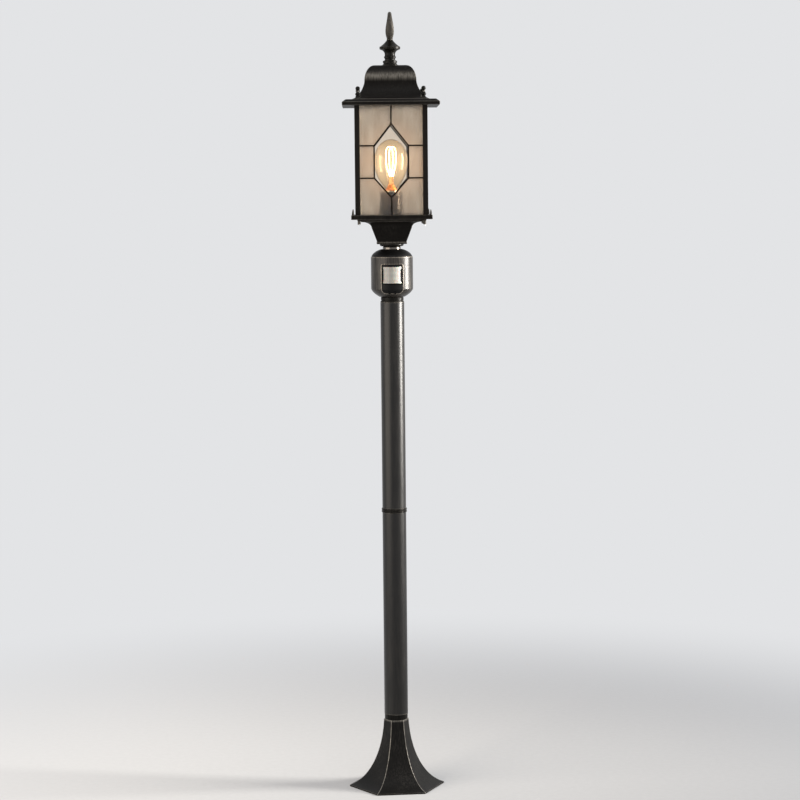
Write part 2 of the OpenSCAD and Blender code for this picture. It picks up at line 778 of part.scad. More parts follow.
module tie_nuts() {
    color(cast_iron) at_corners(rod_pos) translate([0, 0, tray_step_z - tie_nut_h])
        hex_nut(tie_nut_across, tie_nut_h, rod_r + thread_gap);
}

// ---- lamp ----

module lampholder() {
    color("#e8e4da") translate([0, 0, tray_floor_z]) rotate_extrude() difference() {
        polygon([
            [0, 0], [holder_r - 3, 0], [holder_r - 3, 6], [holder_r, 9], [holder_r, holder_h - 2],
            [holder_r - 1.5, holder_h], [0, holder_h]]);
        translate([0, cap_seat_z - tray_floor_z]) square([socket_r, holder_h]);
        translate([0, -past]) square([nipple_r, holder_h]);
    }
}

module holder_nipple() {
    color(bright_metal) {
        translate([0, 0, tray_step_z - nut_h])
            tube(nipple_r, nipple_r - 1.2, nut_h + tray_step_h + floor_t + 8);
        translate([0, 0, tray_step_z - 4]) hex_nut(nipple_r * 2 + 4, 4, nipple_r);
    }
}

// Screw cap of the bulb: insulator, contact and thread
module bulb_cap() {
    color(bright_metal) translate([0, 0, cap_seat_z]) rotate_extrude() polygon([
        [0, 0.3], [6, 0.3], [6, 1.5], [10.5, 4.5], [cap_thread_r, 6.5], [cap_thread_r, 26],
        [cap_thread_r - 0.3, glass_foot_z - cap_seat_z], [0, glass_foot_z - cap_seat_z]]);
}

// Outline of the bulb from its neck to its crown, as [radius, height] points
function bulb_outline(r, h) = concat(
    curve([[cap_thread_r, 0], [cap_thread_r + 1, h * 0.2], [r - 3, h * 0.35], [r, h * 0.66]], 12),
    arc([0, h * 0.66], r, h * 0.34, 8, 90, 12));

module bulb_glass() {
    inner = bulb_outline(bulb_r - bulb_wall, bulb_h - bulb_wall);
    color(clear_glass) translate([0, 0, glass_foot_z]) rotate_extrude() difference() {
        polygon(concat([[0, 0]], bulb_outline(bulb_r, bulb_h)));
        polygon(concat([[0, -past], [cap_thread_r - bulb_wall, -past]],
            [for (p = inner) [min(p[0], max(p[0] - bulb_wall, cap_thread_r - bulb_wall)), p[1]]]));
    }
}

stem_glass_h = 36;
pinch_r = 5;
pinch_z = stem_glass_h - 3;
filament_r = 0.5;
cage_foot_r = pinch_r + filament_r + snug;
cage_r = 10;
cage_high = 80;

// Glass stem of the bulb with the two lead wires' pinch on top
module bulb_stem() {
    color(clear_glass) translate([0, 0, glass_foot_z]) rotate_extrude() polygon([
        [0, 0], [9, 0], [5.5, 6], [4, pinch_z - 5], [pinch_r, pinch_z], [4, stem_glass_h],
        [0, stem_glass_h]]);
}

// Filament: one wire that climbs and falls in tall loops around the stem
loops = 5;
filament_steps = 90;
function filament_point(s) = let (
    a = 360 * s,
    up = (1 - cos(a * loops)) / 2,
    r = mix(cage_foot_r, cage_r, up))
    [r * cos(a), r * sin(a), glass_foot_z + mix(pinch_z, cage_high, up)];

module bulb_filament() {
    rings = [
        for (i = [0:filament_steps - 1])
            let (p = filament_point(i / filament_steps),
                ahead = filament_point((i + 0.5) / filament_steps)
                    - filament_point((i - 0.5) / filament_steps),
                along = ahead / norm(ahead),
                out = [cos(360 * i / filament_steps), sin(360 * i / filament_steps), 0],
                up = cross(along, out) / norm(cross(along, out)),
                side = cross(up, along))
            [for (k = [0:4]) p + filament_r * (cos(72 * k) * side + sin(72 * k) * up)]];
    color("#f0a040") skin(rings, closed = true);
}

// ---- roof, lifts off along the tie rods ----

module brim() {
    pocket = body_half + slack;
    opening = bell_waist_half + 4;
    color(cast_iron) translate([0, 0, brim_z]) difference() {
        skin(square_rings([
            [brim_half - 1, 0], [brim_half, 1], [brim_half, brim_h - brim_bevel_h],
            [brim_half - 1.2, brim_h - brim_bevel_h + 0.3], [brim_half - brim_bevel_w, brim_h]], 1));
        translate([-pocket, -pocket, -past]) cube([2 * pocket, 2 * pocket, brim_skirt + past]);
        translate([-opening, -opening, 0]) cube([2 * opening, 2 * opening, brim_h + past]);
        at_corners(rod_pos) cylinder(h = brim_h + past, r = rod_r + slack, $fn = 32);
    }
}

module bell() {
    dome = bell_waist_half - bell_top_half;
    outside = concat(
        [[bell_foot_half, 0]],
        arc([bell_foot_half, bell_flare_h], bell_flare_w, bell_flare_h - bell_edge_h, 270, 180, 10),
        arc([bell_top_half, bell_flare_h], dome, bell_dome_h, 12, 90, 9));
    inside = concat(
        [[bell_waist_half + 4, -past], [bell_waist_half + 1, bell_flare_h * 0.4]],
        arc([bell_top_half, bell_flare_h], dome - bell_wall, bell_dome_h - bell_wall, 0, 90, 8));
    color(cast_iron) translate([0, 0, bell_z]) difference() {
        skin(square_rings(outside, 1.2));
        skin(square_rings(inside, 1));
        cylinder(h = bell_flare_h + bell_dome_h + past, r = finial_stud_r + snug, $fn = 48);
        at_corners(rod_pos) {
            translate([0, 0, -past]) cylinder(h = bell_flare_h, r = rod_r + slack, $fn = 32);
            translate([0, 0, knob_z - bell_z]) cylinder(h = bell_flare_h, r = knob_foot_r + 0.6, $fn = 48);
        }
    }
}

// Ornamental nuts that clamp the roof on the four tie rods
module roof_nuts() {
    waist_r = knob_r * 0.62;
    ball_z = knob_h - knob_r;
    color(cast_iron) at_corners(rod_pos) translate([0, 0, knob_z]) rotate_extrude($fn = 48) difference() {
        polygon(concat(
            [[0, 0], [knob_foot_r, 0], [knob_foot_r, 1.6], [waist_r + 0.8, 4]],
            arc([0, 8], knob_foot_r, 3.6, -40, 50, 8), [[waist_r, ball_z - knob_r + 0.6]],
            arc([0, ball_z], knob_r, knob_r, -50, 90, 10)));
        translate([0, -past]) square([rod_r + snug, rod_high - knob_z + snug + past]);
    }
}

module finial() {
    foot_r = finial_foot_r;
    neck_r = finial_neck_r;
    rim_r = finial_rim_r;
    h = finial_h;
    color(cast_iron) translate([0, 0, bell_top_z]) {
        rotate_extrude() polygon(concat(
            [[0, 0], [foot_r, 0], [foot_r, 1.2]],
            arc([foot_r, h * 0.115], foot_r - neck_r - 2.6, h * 0.115 - 1.2, 270, 180, 6),
            [[neck_r + 3.7, h * 0.12], [neck_r + 3.7, h * 0.19], [neck_r + 2.4, h * 0.205],
             [neck_r, h * 0.225], [neck_r, h * 0.27]],
            arc([neck_r, h * 0.335], 1.5, h * 0.05, -80, 80, 6),
            [[neck_r, h * 0.4]],
            arc([rim_r, h * 0.44], rim_r - neck_r, h * 0.19, 180, 100, 6),
            [[rim_r, h * 0.655]],
            curve([
                [rim_r, h * 0.735], [mix(finial_tip_r, rim_r, 0.6), h * 0.8],
                [mix(finial_tip_r, rim_r, 0.25), h * 0.9], [finial_tip_r, h]], 7),
            [[0, h]]));
        translate([0, 0, -finial_stud_h]) cylinder(h = finial_stud_h + past, r = finial_stud_r, $fn = 48);
    }
}

module finial_nut() {
    color(bright_metal) translate([0, 0, bell_top_z - bell_wall - nut_h])
        hex_nut(13, nut_h, finial_stud_r + thread_gap);
}

// Cast loop in the fore-and-aft plane: its strand is widest low down and tapers to the top
loop_steps = 40;
strand_steps = 12;
function strand_half_w(a) = let (low = (1 - cos(a)) / 2) 3.8 + 2 * low + 4.6 * low * pow(sin(a), 2);

module finial_loop() {
    deep = (loop_d - loop_t) / 2;
    tall = (loop_h - loop_t) / 2;
    rings = [
        for (i = [0:loop_steps - 1])
            let (a = 360 * i / loop_steps,
                centre = [0, deep * sin(a), loop_z + loop_h / 2 + tall * cos(a)],
                out = [0, tall * sin(a), deep * cos(a)] / norm([tall * sin(a), deep * cos(a)]))
            [for (k = [0:strand_steps - 1])
                let (b = 360 * k / strand_steps)
                centre + loop_t / 2 * cos(b) * out + strand_half_w(a) * sin(b) * [1, 0, 0]]];
    color(cast_iron) {
        skin(rings, closed = true);
        translate([0, 0, loop_z]) cylinder(h = loop_t * 0.4, r = finial_tip_r, $fn = 48);
    }
}

ground_ring();
foot_screws();
foot();
foot_nipple();
foot_collar();
lower_pole();
joint_ring();
upper_pole();
head_collar();
stem();
stem_nut();
sensor_housing();
sensor_cap();
sensor_insert();
sensor_lens();
sensor_board();
dial_time();
dial_light();
spacer();
neck_ring();
lantern_neck();
tray();
tray_screws();
post(0);  // post_1
post(1);  // post_2
post(2);  // post_3
post(3);  // post_4
frosted_glass(0);  // frosted_front
frosted_glass(1);  // frosted_right
frosted_glass(2);  // frosted_back
frosted_glass(3);  // frosted_left
clear_pane(0);  // clear_front
clear_pane(1);  // clear_right
clear_pane(2);  // clear_back
clear_pane(3);  // clear_left
cames(0);  // cames_front
cames(1);  // cames_right
cames(2);  // cames_back
cames(3);  // cames_left
top_frame();
tie_rods();
tie_nuts();
lampholder();
holder_nipple();
bulb_glass();
bulb_cap();
bulb_stem();
bulb_filament();
brim();
bell();
roof_nuts();
finial();
finial_nut();
finial_loop();
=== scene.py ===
# %% [markdown]
# # A lantern floor lamp for the garden path
# The construction arrives as a fixed frame: every casting, tube, pane and screw already stands in its place, in
# metres, with the front towards -Y. This notebook gives each of them its finish. It models again the pieces whose
# curved faces came over as flat facets, and those that the photograph shows a few millimetres wider. The frame's box
# is kept.

# %% Load the frame
import math
import bmesh
import bpy
import numpy as np
from mathutils import Matrix, Vector


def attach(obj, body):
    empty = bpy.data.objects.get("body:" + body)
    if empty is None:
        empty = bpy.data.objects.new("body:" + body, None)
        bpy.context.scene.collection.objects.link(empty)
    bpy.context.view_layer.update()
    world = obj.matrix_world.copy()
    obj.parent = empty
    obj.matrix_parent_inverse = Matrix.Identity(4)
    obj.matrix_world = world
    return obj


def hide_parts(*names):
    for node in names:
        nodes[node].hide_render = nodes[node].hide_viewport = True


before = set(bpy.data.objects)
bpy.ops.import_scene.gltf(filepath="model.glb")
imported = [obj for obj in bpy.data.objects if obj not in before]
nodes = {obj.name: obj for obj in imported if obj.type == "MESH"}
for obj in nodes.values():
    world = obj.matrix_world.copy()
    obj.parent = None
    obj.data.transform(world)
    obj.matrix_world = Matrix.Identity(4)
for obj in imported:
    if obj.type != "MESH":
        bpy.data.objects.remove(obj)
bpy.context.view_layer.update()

# %% [markdown]
# Sizes are easier to read in millimetres, and colours as the hex values that a paint chart gives. Blender works in
# metres and in linear light, so two small functions translate. A third adds a shader node: its settings are
# attributes, and each of its inputs gets either a plain value or a link from another node's output.

# %% Units, colours and nodes
MM = 0.001


def linear(paint):
    """An sRGB hex value as linear RGBA."""
    parts = [int(paint[i:i + 2], 16) / 255 for i in (1, 3, 5)]
    return [c / 12.92 if c <= 0.04045 else ((c + 0.055) / 1.055) ** 2.4 for c in parts] + [1.0]


def add(tree, kind, inputs=None, **settings):
    """Adds a node. inputs maps a socket's name or number to a value or to the output that feeds it."""
    made = tree.nodes.new(kind)
    for name, value in settings.items():
        setattr(made, name, value)
    for socket, value in (inputs or {}).items():
        if isinstance(value, bpy.types.NodeSocket):
            tree.links.new(value, made.inputs[socket])
        else:
            made.inputs[socket].default_value = value
    return made


def new_material(name):
    """An empty material and its node tree, with the output node."""
    material = bpy.data.materials.new(name)
    material.use_nodes = True
    material.node_tree.nodes.clear()
    return material, material.node_tree, material.node_tree.nodes.new("ShaderNodeOutputMaterial")


print("mid grey #808080 is", round(linear("#808080")[0], 3), "in linear light")

# %% [markdown]
# The photograph was taken from four and a half metres, level with the lantern's lower panes, with a long lens and
# almost straight on. The pole leans by half a degree in it, so the camera was not quite level. Pixel places are kept
# as named values: where the lamp's axis crosses the picture's middle row, and the focal length in pixels.

# %% Camera
PICTURE = 800                      # pixels, both ways
FOCAL_PX = 2338                    # focal length in pixels
AXIS_PX = 393.2                    # where the pole's axis crosses the middle row
SENSOR_MM = 36.0                   # width of the camera's sensor
camera_distance, camera_height = 4.5, 1.170
camera_azimuth, camera_pitch, camera_roll = math.radians(-0.7), math.radians(-5.237), math.radians(-0.54)

camera = bpy.data.objects.new("path_camera", bpy.data.cameras.new("path_camera"))
bpy.context.scene.collection.objects.link(camera)
camera.data.sensor_width = SENSOR_MM
camera.data.lens = FOCAL_PX * SENSOR_MM / PICTURE
yaw = camera_azimuth - math.atan((PICTURE / 2 - AXIS_PX) / FOCAL_PX)
camera.location = (camera_distance * math.sin(camera_azimuth), -camera_distance * math.cos(camera_azimuth),
                   camera_height)
look = Matrix.Rotation(yaw, 4, "Z") @ Matrix.Rotation(math.pi / 2 + camera_pitch, 4, "X")
camera.matrix_world = Matrix.Translation(camera.location) @ look @ Matrix.Rotation(camera_roll, 4, "Z")
bpy.context.scene.camera = camera
bpy.context.scene.view_settings.view_transform = "Standard"


def in_picture(point):
    """Pixel at which the camera sees a point of the frame."""
    seen = camera.matrix_world.inverted() @ Vector(point)
    across, down = seen.x / -seen.z, seen.y / seen.z
    return [round(PICTURE / 2 + FOCAL_PX * across, 1), round(PICTURE / 2 + FOCAL_PX * down, 1)]


print("loop's top at", in_picture((0, 0, 1.5)), "ground at", in_picture((0, 0, 0)))

# %% [markdown]
# The floor is plain and pale. Near the foot it is an ordinary matt surface that keeps the lamp's shadow, and further
# out it fades to the colour of the background, so that no horizon crosses the picture. The same pale background is
# what gloss and glass show. Everything else is lit by large soft lamps: a very wide and weak one on the left, which
# gives the metal its grey half, a tall one straight to the right, which draws the bright line along the pole, and a
# faint one overhead. The tall one has a honeycomb grid, so that little of its light falls on the floor.

# %% Floor, background and lamps
BACKGROUND = "#e3e4e6"
FADE_FROM, FADE_TO = 0.35, 1.9     # metres from the axis, over which the floor fades to the background


def seen_rays(tree):
    """1 for what the eye, a reflection or a look through glass meets, and 0 for light on its way."""
    path = add(tree, "ShaderNodeLightPath")
    both = add(tree, "ShaderNodeMath", {0: path.outputs["Is Camera Ray"], 1: path.outputs["Is Glossy Ray"]},
               operation="MAXIMUM")
    return add(tree, "ShaderNodeMath", {0: both.outputs[0], 1: path.outputs["Is Transmission Ray"]},
               operation="MAXIMUM").outputs[0]


world = bpy.data.worlds.new("studio")
bpy.context.scene.world = world
world.use_nodes = True
world.node_tree.nodes.clear()
sky = world.node_tree
pale = add(sky, "ShaderNodeBackground", {"Color": linear(BACKGROUND), "Strength": 1.0})
soft = add(sky, "ShaderNodeBackground", {"Color": linear("#f4f6ff"), "Strength": 0.42})
mixed = add(sky, "ShaderNodeMixShader", {0: seen_rays(sky), 1: soft.outputs[0], 2: pale.outputs[0]})
add(sky, "ShaderNodeOutputWorld", {"Surface": mixed.outputs[0]})

plaster, tree, out = new_material("painted_studio_floor")
place = add(tree, "ShaderNodeTexCoord").outputs["Object"]
grain = add(tree, "ShaderNodeTexNoise", {"Vector": place, "Scale": 1 / 0.012, "Detail": 4.0})
tone = add(tree, "ShaderNodeMix", {0: grain.outputs[0], 6: linear("#cfd0d0"), 7: linear("#d7d8d8")},
           data_type="RGBA")
matt = add(tree, "ShaderNodeBsdfDiffuse", {"Color": tone.outputs[2], "Roughness": 0.6})
glow = add(tree, "ShaderNodeEmission", {"Color": linear(BACKGROUND), "Strength": 1.0})
away = add(tree, "ShaderNodeVectorMath", {0: place}, operation="LENGTH")
fade = add(tree, "ShaderNodeMapRange", {0: away.outputs["Value"], 1: FADE_FROM, 2: FADE_TO},
           interpolation_type="SMOOTHSTEP")
shown = add(tree, "ShaderNodeMath", {0: fade.outputs[0], 1: seen_rays(tree)}, operation="MULTIPLY")
mixed = add(tree, "ShaderNodeMixShader", {0: shown.outputs[0], 1: matt.outputs[0], 2: glow.outputs[0]})
tree.links.new(mixed.outputs[0], out.inputs["Surface"])

bpy.ops.mesh.primitive_circle_add(vertices=128, radius=40, fill_type="NGON", location=(0, 0, 0))
floor = bpy.context.object
floor.name = "studio_floor"
floor.data.materials.append(plaster)


def soft_lamp(name, at, aim, width, height, watts, colour="#ffffff", spread=180):
    """A rectangular area lamp at one point, facing another. spread is the angle of its honeycomb grid."""
    lamp = bpy.data.objects.new(name, bpy.data.lights.new(name, "AREA"))
    lamp.data.shape = "RECTANGLE"
    lamp.data.size, lamp.data.size_y = width, height
    lamp.data.energy, lamp.data.color = watts, linear(colour)[:3]
    lamp.data.spread = math.radians(spread)
    lamp.location = at
    lamp.rotation_euler = (Vector(aim) - Vector(at)).to_track_quat("-Z", "Y").to_euler()
    bpy.context.scene.collection.objects.link(lamp)


soft_lamp("tall_right", (2.1, -0.1, 1.3), (0, 0, 1.2), 0.7, 1.4, 36, "#fffaf3", spread=75)
soft_lamp("wide_left", (-2.0, -1.3, 1.15), (0, 0, 0.85), 2.4, 1.9, 44, "#fff3e4")
soft_lamp("overhead", (0.0, -1.2, 3.1), (0, 0, 0.9), 1.4, 1.0, 9)

# %% [markdown]
# The castings and tubes are aluminium with a black powder coat that was rubbed back with silver: the coat is darkest
# on flat faces, and the silver shows as a line along every outer edge and as fine upright streaks where the brush
# went over. To find the edges, short rays are cast inside the metal: near an outer edge they soon meet the other
# face. Streaks are noise stretched along the height. A real streak is a few tenths of a millimetre wide, which is
# too fine to show here, so they are drawn about two millimetres wide.

# %% Rubbed powder coat
def per_mm(size):
    """Scale of a pattern whose grain is that many millimetres."""
    return 1 / (size * MM)


def rubbed_coat(name, black, silver, streaks, edge_mm, shine, edges=1.0, sheen=(0.36, 0.5), cloud_mm=45, peel=0.18):
    """Black powder coat with silver rubbed on edges and in streaks, and silver where a piece's own values ask for it,
    which on the bell's dome paints a highlight band. sheen is the range of its roughness, shine its gloss level and
    peel the relief of its skin."""
    material, tree, out = new_material(name)
    place = add(tree, "ShaderNodeTexCoord").outputs["Object"]
    stretched = add(tree, "ShaderNodeVectorMath",
                    {0: place, 1: (per_mm(2.0), per_mm(2.0), per_mm(38))}, operation="MULTIPLY")
    brushed = add(tree, "ShaderNodeTexNoise", {"Vector": stretched.outputs[0], "Scale": 1.0, "Detail": 3.0,
                                               "Roughness": 0.65})
    streak = add(tree, "ShaderNodeMapRange", {0: brushed.outputs[0], 1: 0.42, 2: 0.72})
    clouds = add(tree, "ShaderNodeTexNoise", {"Vector": place, "Scale": per_mm(cloud_mm), "Detail": 2.0})
    cloud = add(tree, "ShaderNodeMapRange", {0: clouds.outputs[0], 1: 0.38, 2: 0.66, 3: 0.25, 4: 1.0})
    inner = add(tree, "ShaderNodeAmbientOcclusion", {"Distance": edge_mm * MM}, samples=8, inside=True,
                only_local=True)
    edge = add(tree, "ShaderNodeMapRange", {0: inner.outputs["AO"], 1: 0.9, 2: 0.62})
    patchy = add(tree, "ShaderNodeMapRange", {0: brushed.outputs[0], 1: 0.35, 2: 0.6, 3: 0.35, 4: 1.0})
    wear_and_highlight = add(tree, "ShaderNodeMath", {0: edge.outputs[0], 1: patchy.outputs[0]}, operation="MULTIPLY")
    wear_and_highlight = add(tree, "ShaderNodeMath", {0: wear_and_highlight.outputs[0], 1: edges}, operation="MULTIPLY")
    # the piece's own values: rubbed silver, and on the bell's dome a painted highlight band
    marked = add(tree, "ShaderNodeAttribute", attribute_name="rub_and_highlight").outputs["Fac"]
    wear_and_highlight = add(tree, "ShaderNodeMath", {0: marked, 1: patchy.outputs[0], 2: wear_and_highlight.outputs[0]},
               operation="MULTIPLY_ADD")
    rubbed = add(tree, "ShaderNodeMath", {0: streak.outputs[0], 1: cloud.outputs[0]}, operation="MULTIPLY")
    rubbed = add(tree, "ShaderNodeMath", {0: rubbed.outputs[0], 1: streaks}, operation="MULTIPLY")
    silver_share = add(tree, "ShaderNodeMath", {0: wear_and_highlight.outputs[0], 1: rubbed.outputs[0]}, operation="ADD", use_clamp=True)
    colour = add(tree, "ShaderNodeMix", {0: silver_share.outputs[0], 6: linear(black), 7: linear(silver)},
                 data_type="RGBA")
    metal = add(tree, "ShaderNodeMath", {0: silver_share.outputs[0], 1: 0.85}, operation="MULTIPLY")
    gloss = add(tree, "ShaderNodeMapRange", {0: brushed.outputs[0], 1: 0.3, 2: 0.7, 3: sheen[0], 4: sheen[1]})
    skin = add(tree, "ShaderNodeTexNoise", {"Vector": place, "Scale": per_mm(1.4), "Detail": 2.0})
    grainy = add(tree, "ShaderNodeBump", {"Height": skin.outputs[0], "Strength": peel, "Distance": 0.12 * MM})
    rounded = add(tree, "ShaderNodeBevel", {"Radius": 0.5 * MM, "Normal": grainy.outputs[0]}, samples=4)
    coat = add(tree, "ShaderNodeBsdfPrincipled", {"Base Color": colour.outputs[2], "Metallic": metal.outputs[0],
                                                  "Roughness": gloss.outputs[0], "Normal": rounded.outputs[0],
                                                  "IOR": 1.5, "Specular IOR Level": shine})
    tree.links.new(coat.outputs[0], out.inputs["Surface"])
    return material


cast_coat = rubbed_coat("rubbed_powder_coat_on_castings", "#0d0b09", "#99948b", streaks=0.04, edge_mm=1.6,
                        shine=0.07, edges=0.35)
turned_coat = rubbed_coat("rubbed_powder_coat_on_turned_rings", "#0b0a08", "#a39e95", streaks=0.05, edge_mm=1.0,
                          shine=0.08, edges=0.3, sheen=(0.26, 0.38))
foot_coat = rubbed_coat("rubbed_powder_coat_on_the_foot", "#0e0d0c", "#b0aba2", streaks=0.06, edge_mm=1.6,
                        shine=0.1, edges=0.3)
tube_coat = rubbed_coat("rubbed_powder_coat_on_tubes", "#0b0907", "#8d877e", streaks=0.05, edge_mm=1.2,
                        shine=0.36, edges=0.5, sheen=(0.3, 0.38), peel=0.04)
head_coat = rubbed_coat("rubbed_powder_coat_on_sensor_head", "#1b1917", "#a1998e", streaks=0.26, edge_mm=1.4,
                        shine=0.3, sheen=(0.28, 0.38), cloud_mm=70)
frame_coat = rubbed_coat("plain_powder_coat_on_corner_angles", "#14110e", "#5a5147", streaks=0.05, edge_mm=1.0,
                         shine=0.1, edges=0.15)
print("coats", [m.name for m in (cast_coat, turned_coat, foot_coat, tube_coat, head_coat, frame_coat)])

# %% [markdown]
# Plastics: the cap, the carrier in the window and the dials are black ABS with the fine spark-eroded grain of their
# mould. The lens is milky polyethylene, pressed so thin that the warm dark inside shows a little: the eye
# sees a pale grey skin with a soft gloss, and the faint grid of the small lenses on its back.

# %% Plastics
def wave_scale(pitch_mm):
    """Scale of a wave texture whose crests are that many millimetres apart."""
    return 2 * math.pi / 20 / (pitch_mm * MM)


def moulded_abs(name, colour, gloss):
    """Moulded ABS with a fine eroded grain of about half a millimetre, drawn at one millimetre."""
    material, tree, out = new_material(name)
    place = add(tree, "ShaderNodeTexCoord").outputs["Object"]
    grain = add(tree, "ShaderNodeTexNoise", {"Vector": place, "Scale": per_mm(1.0), "Detail": 3.0})
    bump = add(tree, "ShaderNodeBump", {"Height": grain.outputs[0], "Strength": 0.25, "Distance": 0.1 * MM})
    rounded = add(tree, "ShaderNodeBevel", {"Radius": 0.4 * MM, "Normal": bump.outputs[0]}, samples=4)
    clouds = add(tree, "ShaderNodeTexNoise", {"Vector": place, "Scale": per_mm(22), "Detail": 2.0})
    rough = add(tree, "ShaderNodeMapRange", {0: clouds.outputs[0], 1: 0.3, 2: 0.7, 3: gloss - 0.06, 4: gloss + 0.06})
    shell = add(tree, "ShaderNodeBsdfPrincipled", {"Base Color": linear(colour), "Roughness": rough.outputs[0],
                                                   "IOR": 1.54, "Specular IOR Level": 0.1,
                                                   "Normal": rounded.outputs[0]})
    tree.links.new(shell.outputs[0], out.inputs["Surface"])
    return material


black_abs = moulded_abs("black_abs", "#0f0f0f", 0.42)

milky_lens, tree, out = new_material("milky_polyethylene_lens")
place = add(tree, "ShaderNodeTexCoord").outputs["Object"]
across = add(tree, "ShaderNodeTexWave", {"Vector": place, "Scale": wave_scale(5.0)}, bands_direction="X",
             wave_profile="SIN")
up = add(tree, "ShaderNodeTexWave", {"Vector": place, "Scale": wave_scale(10.3)}, bands_direction="Z",
         wave_profile="SIN")
ribs = add(tree, "ShaderNodeMath", {0: across.outputs["Fac"], 1: up.outputs["Fac"]}, operation="ADD")
tint = add(tree, "ShaderNodeMapRange", {0: ribs.outputs[0], 1: 0.0, 2: 2.0, 3: 0.0, 4: 1.0})
shade = add(tree, "ShaderNodeMix", {0: tint.outputs[0], 6: linear("#9c9a93"), 7: linear("#aba9a2")},
            data_type="RGBA")
bump = add(tree, "ShaderNodeBump", {"Height": ribs.outputs[0], "Strength": 0.1, "Distance": 0.1 * MM})
skin = add(tree, "ShaderNodeBsdfPrincipled", {"Base Color": shade.outputs[2], "Roughness": 0.38, "IOR": 1.52,
                                              "Subsurface Weight": 0.25, "Subsurface Scale": 0.002,
                                              "Normal": bump.outputs[0]})
tree.links.new(skin.outputs[0], out.inputs["Surface"])
print("plastics", black_abs.name, milky_lens.name)

# %% [markdown]
# Bare metals: pipes, rods, nuts and screws are steel with a bright zinc plating, a little cloudy where the bath left
# its mark. The spacer under the neck is turned steel, polished enough to mirror both lamps. The bulb's cap is
# pressed brass with a nickel flash. A metal keeps Blender's default index and takes its colour from the base colour.

# %% Bare metals
def bare_metal(name, light, dark, rough, turned=False):
    """Metal whose tone and roughness vary in clouds, or in rings where the piece was turned."""
    material, tree, out = new_material(name)
    place = add(tree, "ShaderNodeTexCoord").outputs["Object"]
    if turned:
        place = add(tree, "ShaderNodeVectorMath", {0: place, 1: (20, 20, per_mm(1.2))},
                    operation="MULTIPLY").outputs[0]
    grain = add(tree, "ShaderNodeTexNoise", {"Vector": place, "Scale": 1.0 if turned else per_mm(6.0),
                                             "Detail": 3.0})
    colour = add(tree, "ShaderNodeMix", {0: grain.outputs[0], 6: linear(dark), 7: linear(light)}, data_type="RGBA")
    gloss = add(tree, "ShaderNodeMapRange", {0: grain.outputs[0], 1: 0.3, 2: 0.7, 3: rough - 0.06, 4: rough + 0.08})
    bump = add(tree, "ShaderNodeBump", {"Height": grain.outputs[0], "Strength": 0.1, "Distance": 0.05 * MM})
    face = add(tree, "ShaderNodeBsdfPrincipled", {"Base Color": colour.outputs[2], "Metallic": 1.0,
                                                  "Roughness": gloss.outputs[0], "Normal": bump.outputs[0]})
    tree.links.new(face.outputs[0], out.inputs["Surface"])
    return material


zinc = bare_metal("zinc_plated_steel", "#c9cbcc", "#a3a6a8", 0.3)
turned_steel = bare_metal("turned_and_polished_steel", "#75706a", "#524e49", 0.2, turned=True)
nickel_brass = bare_metal("nickel_plated_brass", "#d2c9b4", "#b0a588", 0.22)
print("metals", zinc.name, turned_steel.name, nickel_brass.name)

# %% [markdown]
# Glass comes in three kinds. The frosted panes are cathedral glass: rolled with a lightly wavy face and etched, so
# that it blurs what is behind it into soft patches and tints it beige. The hexagon in the middle is clear window
# glass. The bulb is blown soda glass with an amber tint. All of them let the lamps through: for a
# shadow ray the glass counts as tinted and see-through, which is what light does with it.

# %% Glass
BULB_HEART = (0.0, 0.0, 1.216)     # middle of the filament


def glass(name, colour, rough, shadow, height=None, lit=None, stain=None):
    """Glass that refracts and lets lamp light pass with a tint. height is a function that gives its relief. lit is a
    painted glow, an emission that stands in for the filament's light scattered in the glass: colour, strength and the
    distances from the filament, in millimetres, where it is strongest and where it ends. stain is a second colour in
    slanting clouds."""
    material, tree, out = new_material(name)
    place = add(tree, "ShaderNodeTexCoord").outputs["Object"]
    inputs = {"Base Color": linear(colour), "Roughness": rough, "IOR": 1.5, "Transmission Weight": 1.0}
    if stain:
        slanted = add(tree, "ShaderNodeMapping",
                      {"Vector": place, "Rotation": (0.0, 0.7, 0.6), "Scale": (1.0, 1.0, 0.3)})
        clouds = add(tree, "ShaderNodeTexNoise", {"Vector": slanted.outputs[0], "Scale": per_mm(16), "Detail": 4.0,
                                                  "Distortion": 0.8})
        spread = add(tree, "ShaderNodeMapRange", {0: clouds.outputs[0], 1: 0.38, 2: 0.62})
        tinted = add(tree, "ShaderNodeMix", {0: spread.outputs[0], 6: linear(colour), 7: linear(stain)},
                     data_type="RGBA")
        inputs["Base Color"] = tinted.outputs[2]
    if height:
        bump = add(tree, "ShaderNodeBump", {"Height": height(tree, place), "Strength": 1.0, "Distance": 0.6 * MM})
        inputs["Normal"] = bump.outputs[0]
    # painted glow: the glass emits light that stands in for the filament's light, strongest near the filament
    if lit:
        hue, strength, near, end = lit
        far = add(tree, "ShaderNodeVectorMath", {0: place, 1: BULB_HEART}, operation="DISTANCE")
        fall = add(tree, "ShaderNodeMapRange", {0: far.outputs["Value"], 1: near * MM, 2: end * MM, 3: 1.0, 4: 0.0},
                   interpolation_type="SMOOTHSTEP")
        scatter = add(tree, "ShaderNodeMix", {0: fall.outputs[0], 6: (0, 0, 0, 1), 7: linear(hue)},
                      data_type="RGBA")
        inputs["Emission Color"], inputs["Emission Strength"] = scatter.outputs[2], strength
    pane = add(tree, "ShaderNodeBsdfPrincipled", inputs)
    through = add(tree, "ShaderNodeBsdfTransparent", {"Color": linear(shadow)})
    path = add(tree, "ShaderNodeLightPath")
    both = add(tree, "ShaderNodeMixShader", {0: path.outputs["Is Shadow Ray"], 1: pane.outputs[0],
                                             2: through.outputs[0]})
    tree.links.new(both.outputs[0], out.inputs["Surface"])
    return material


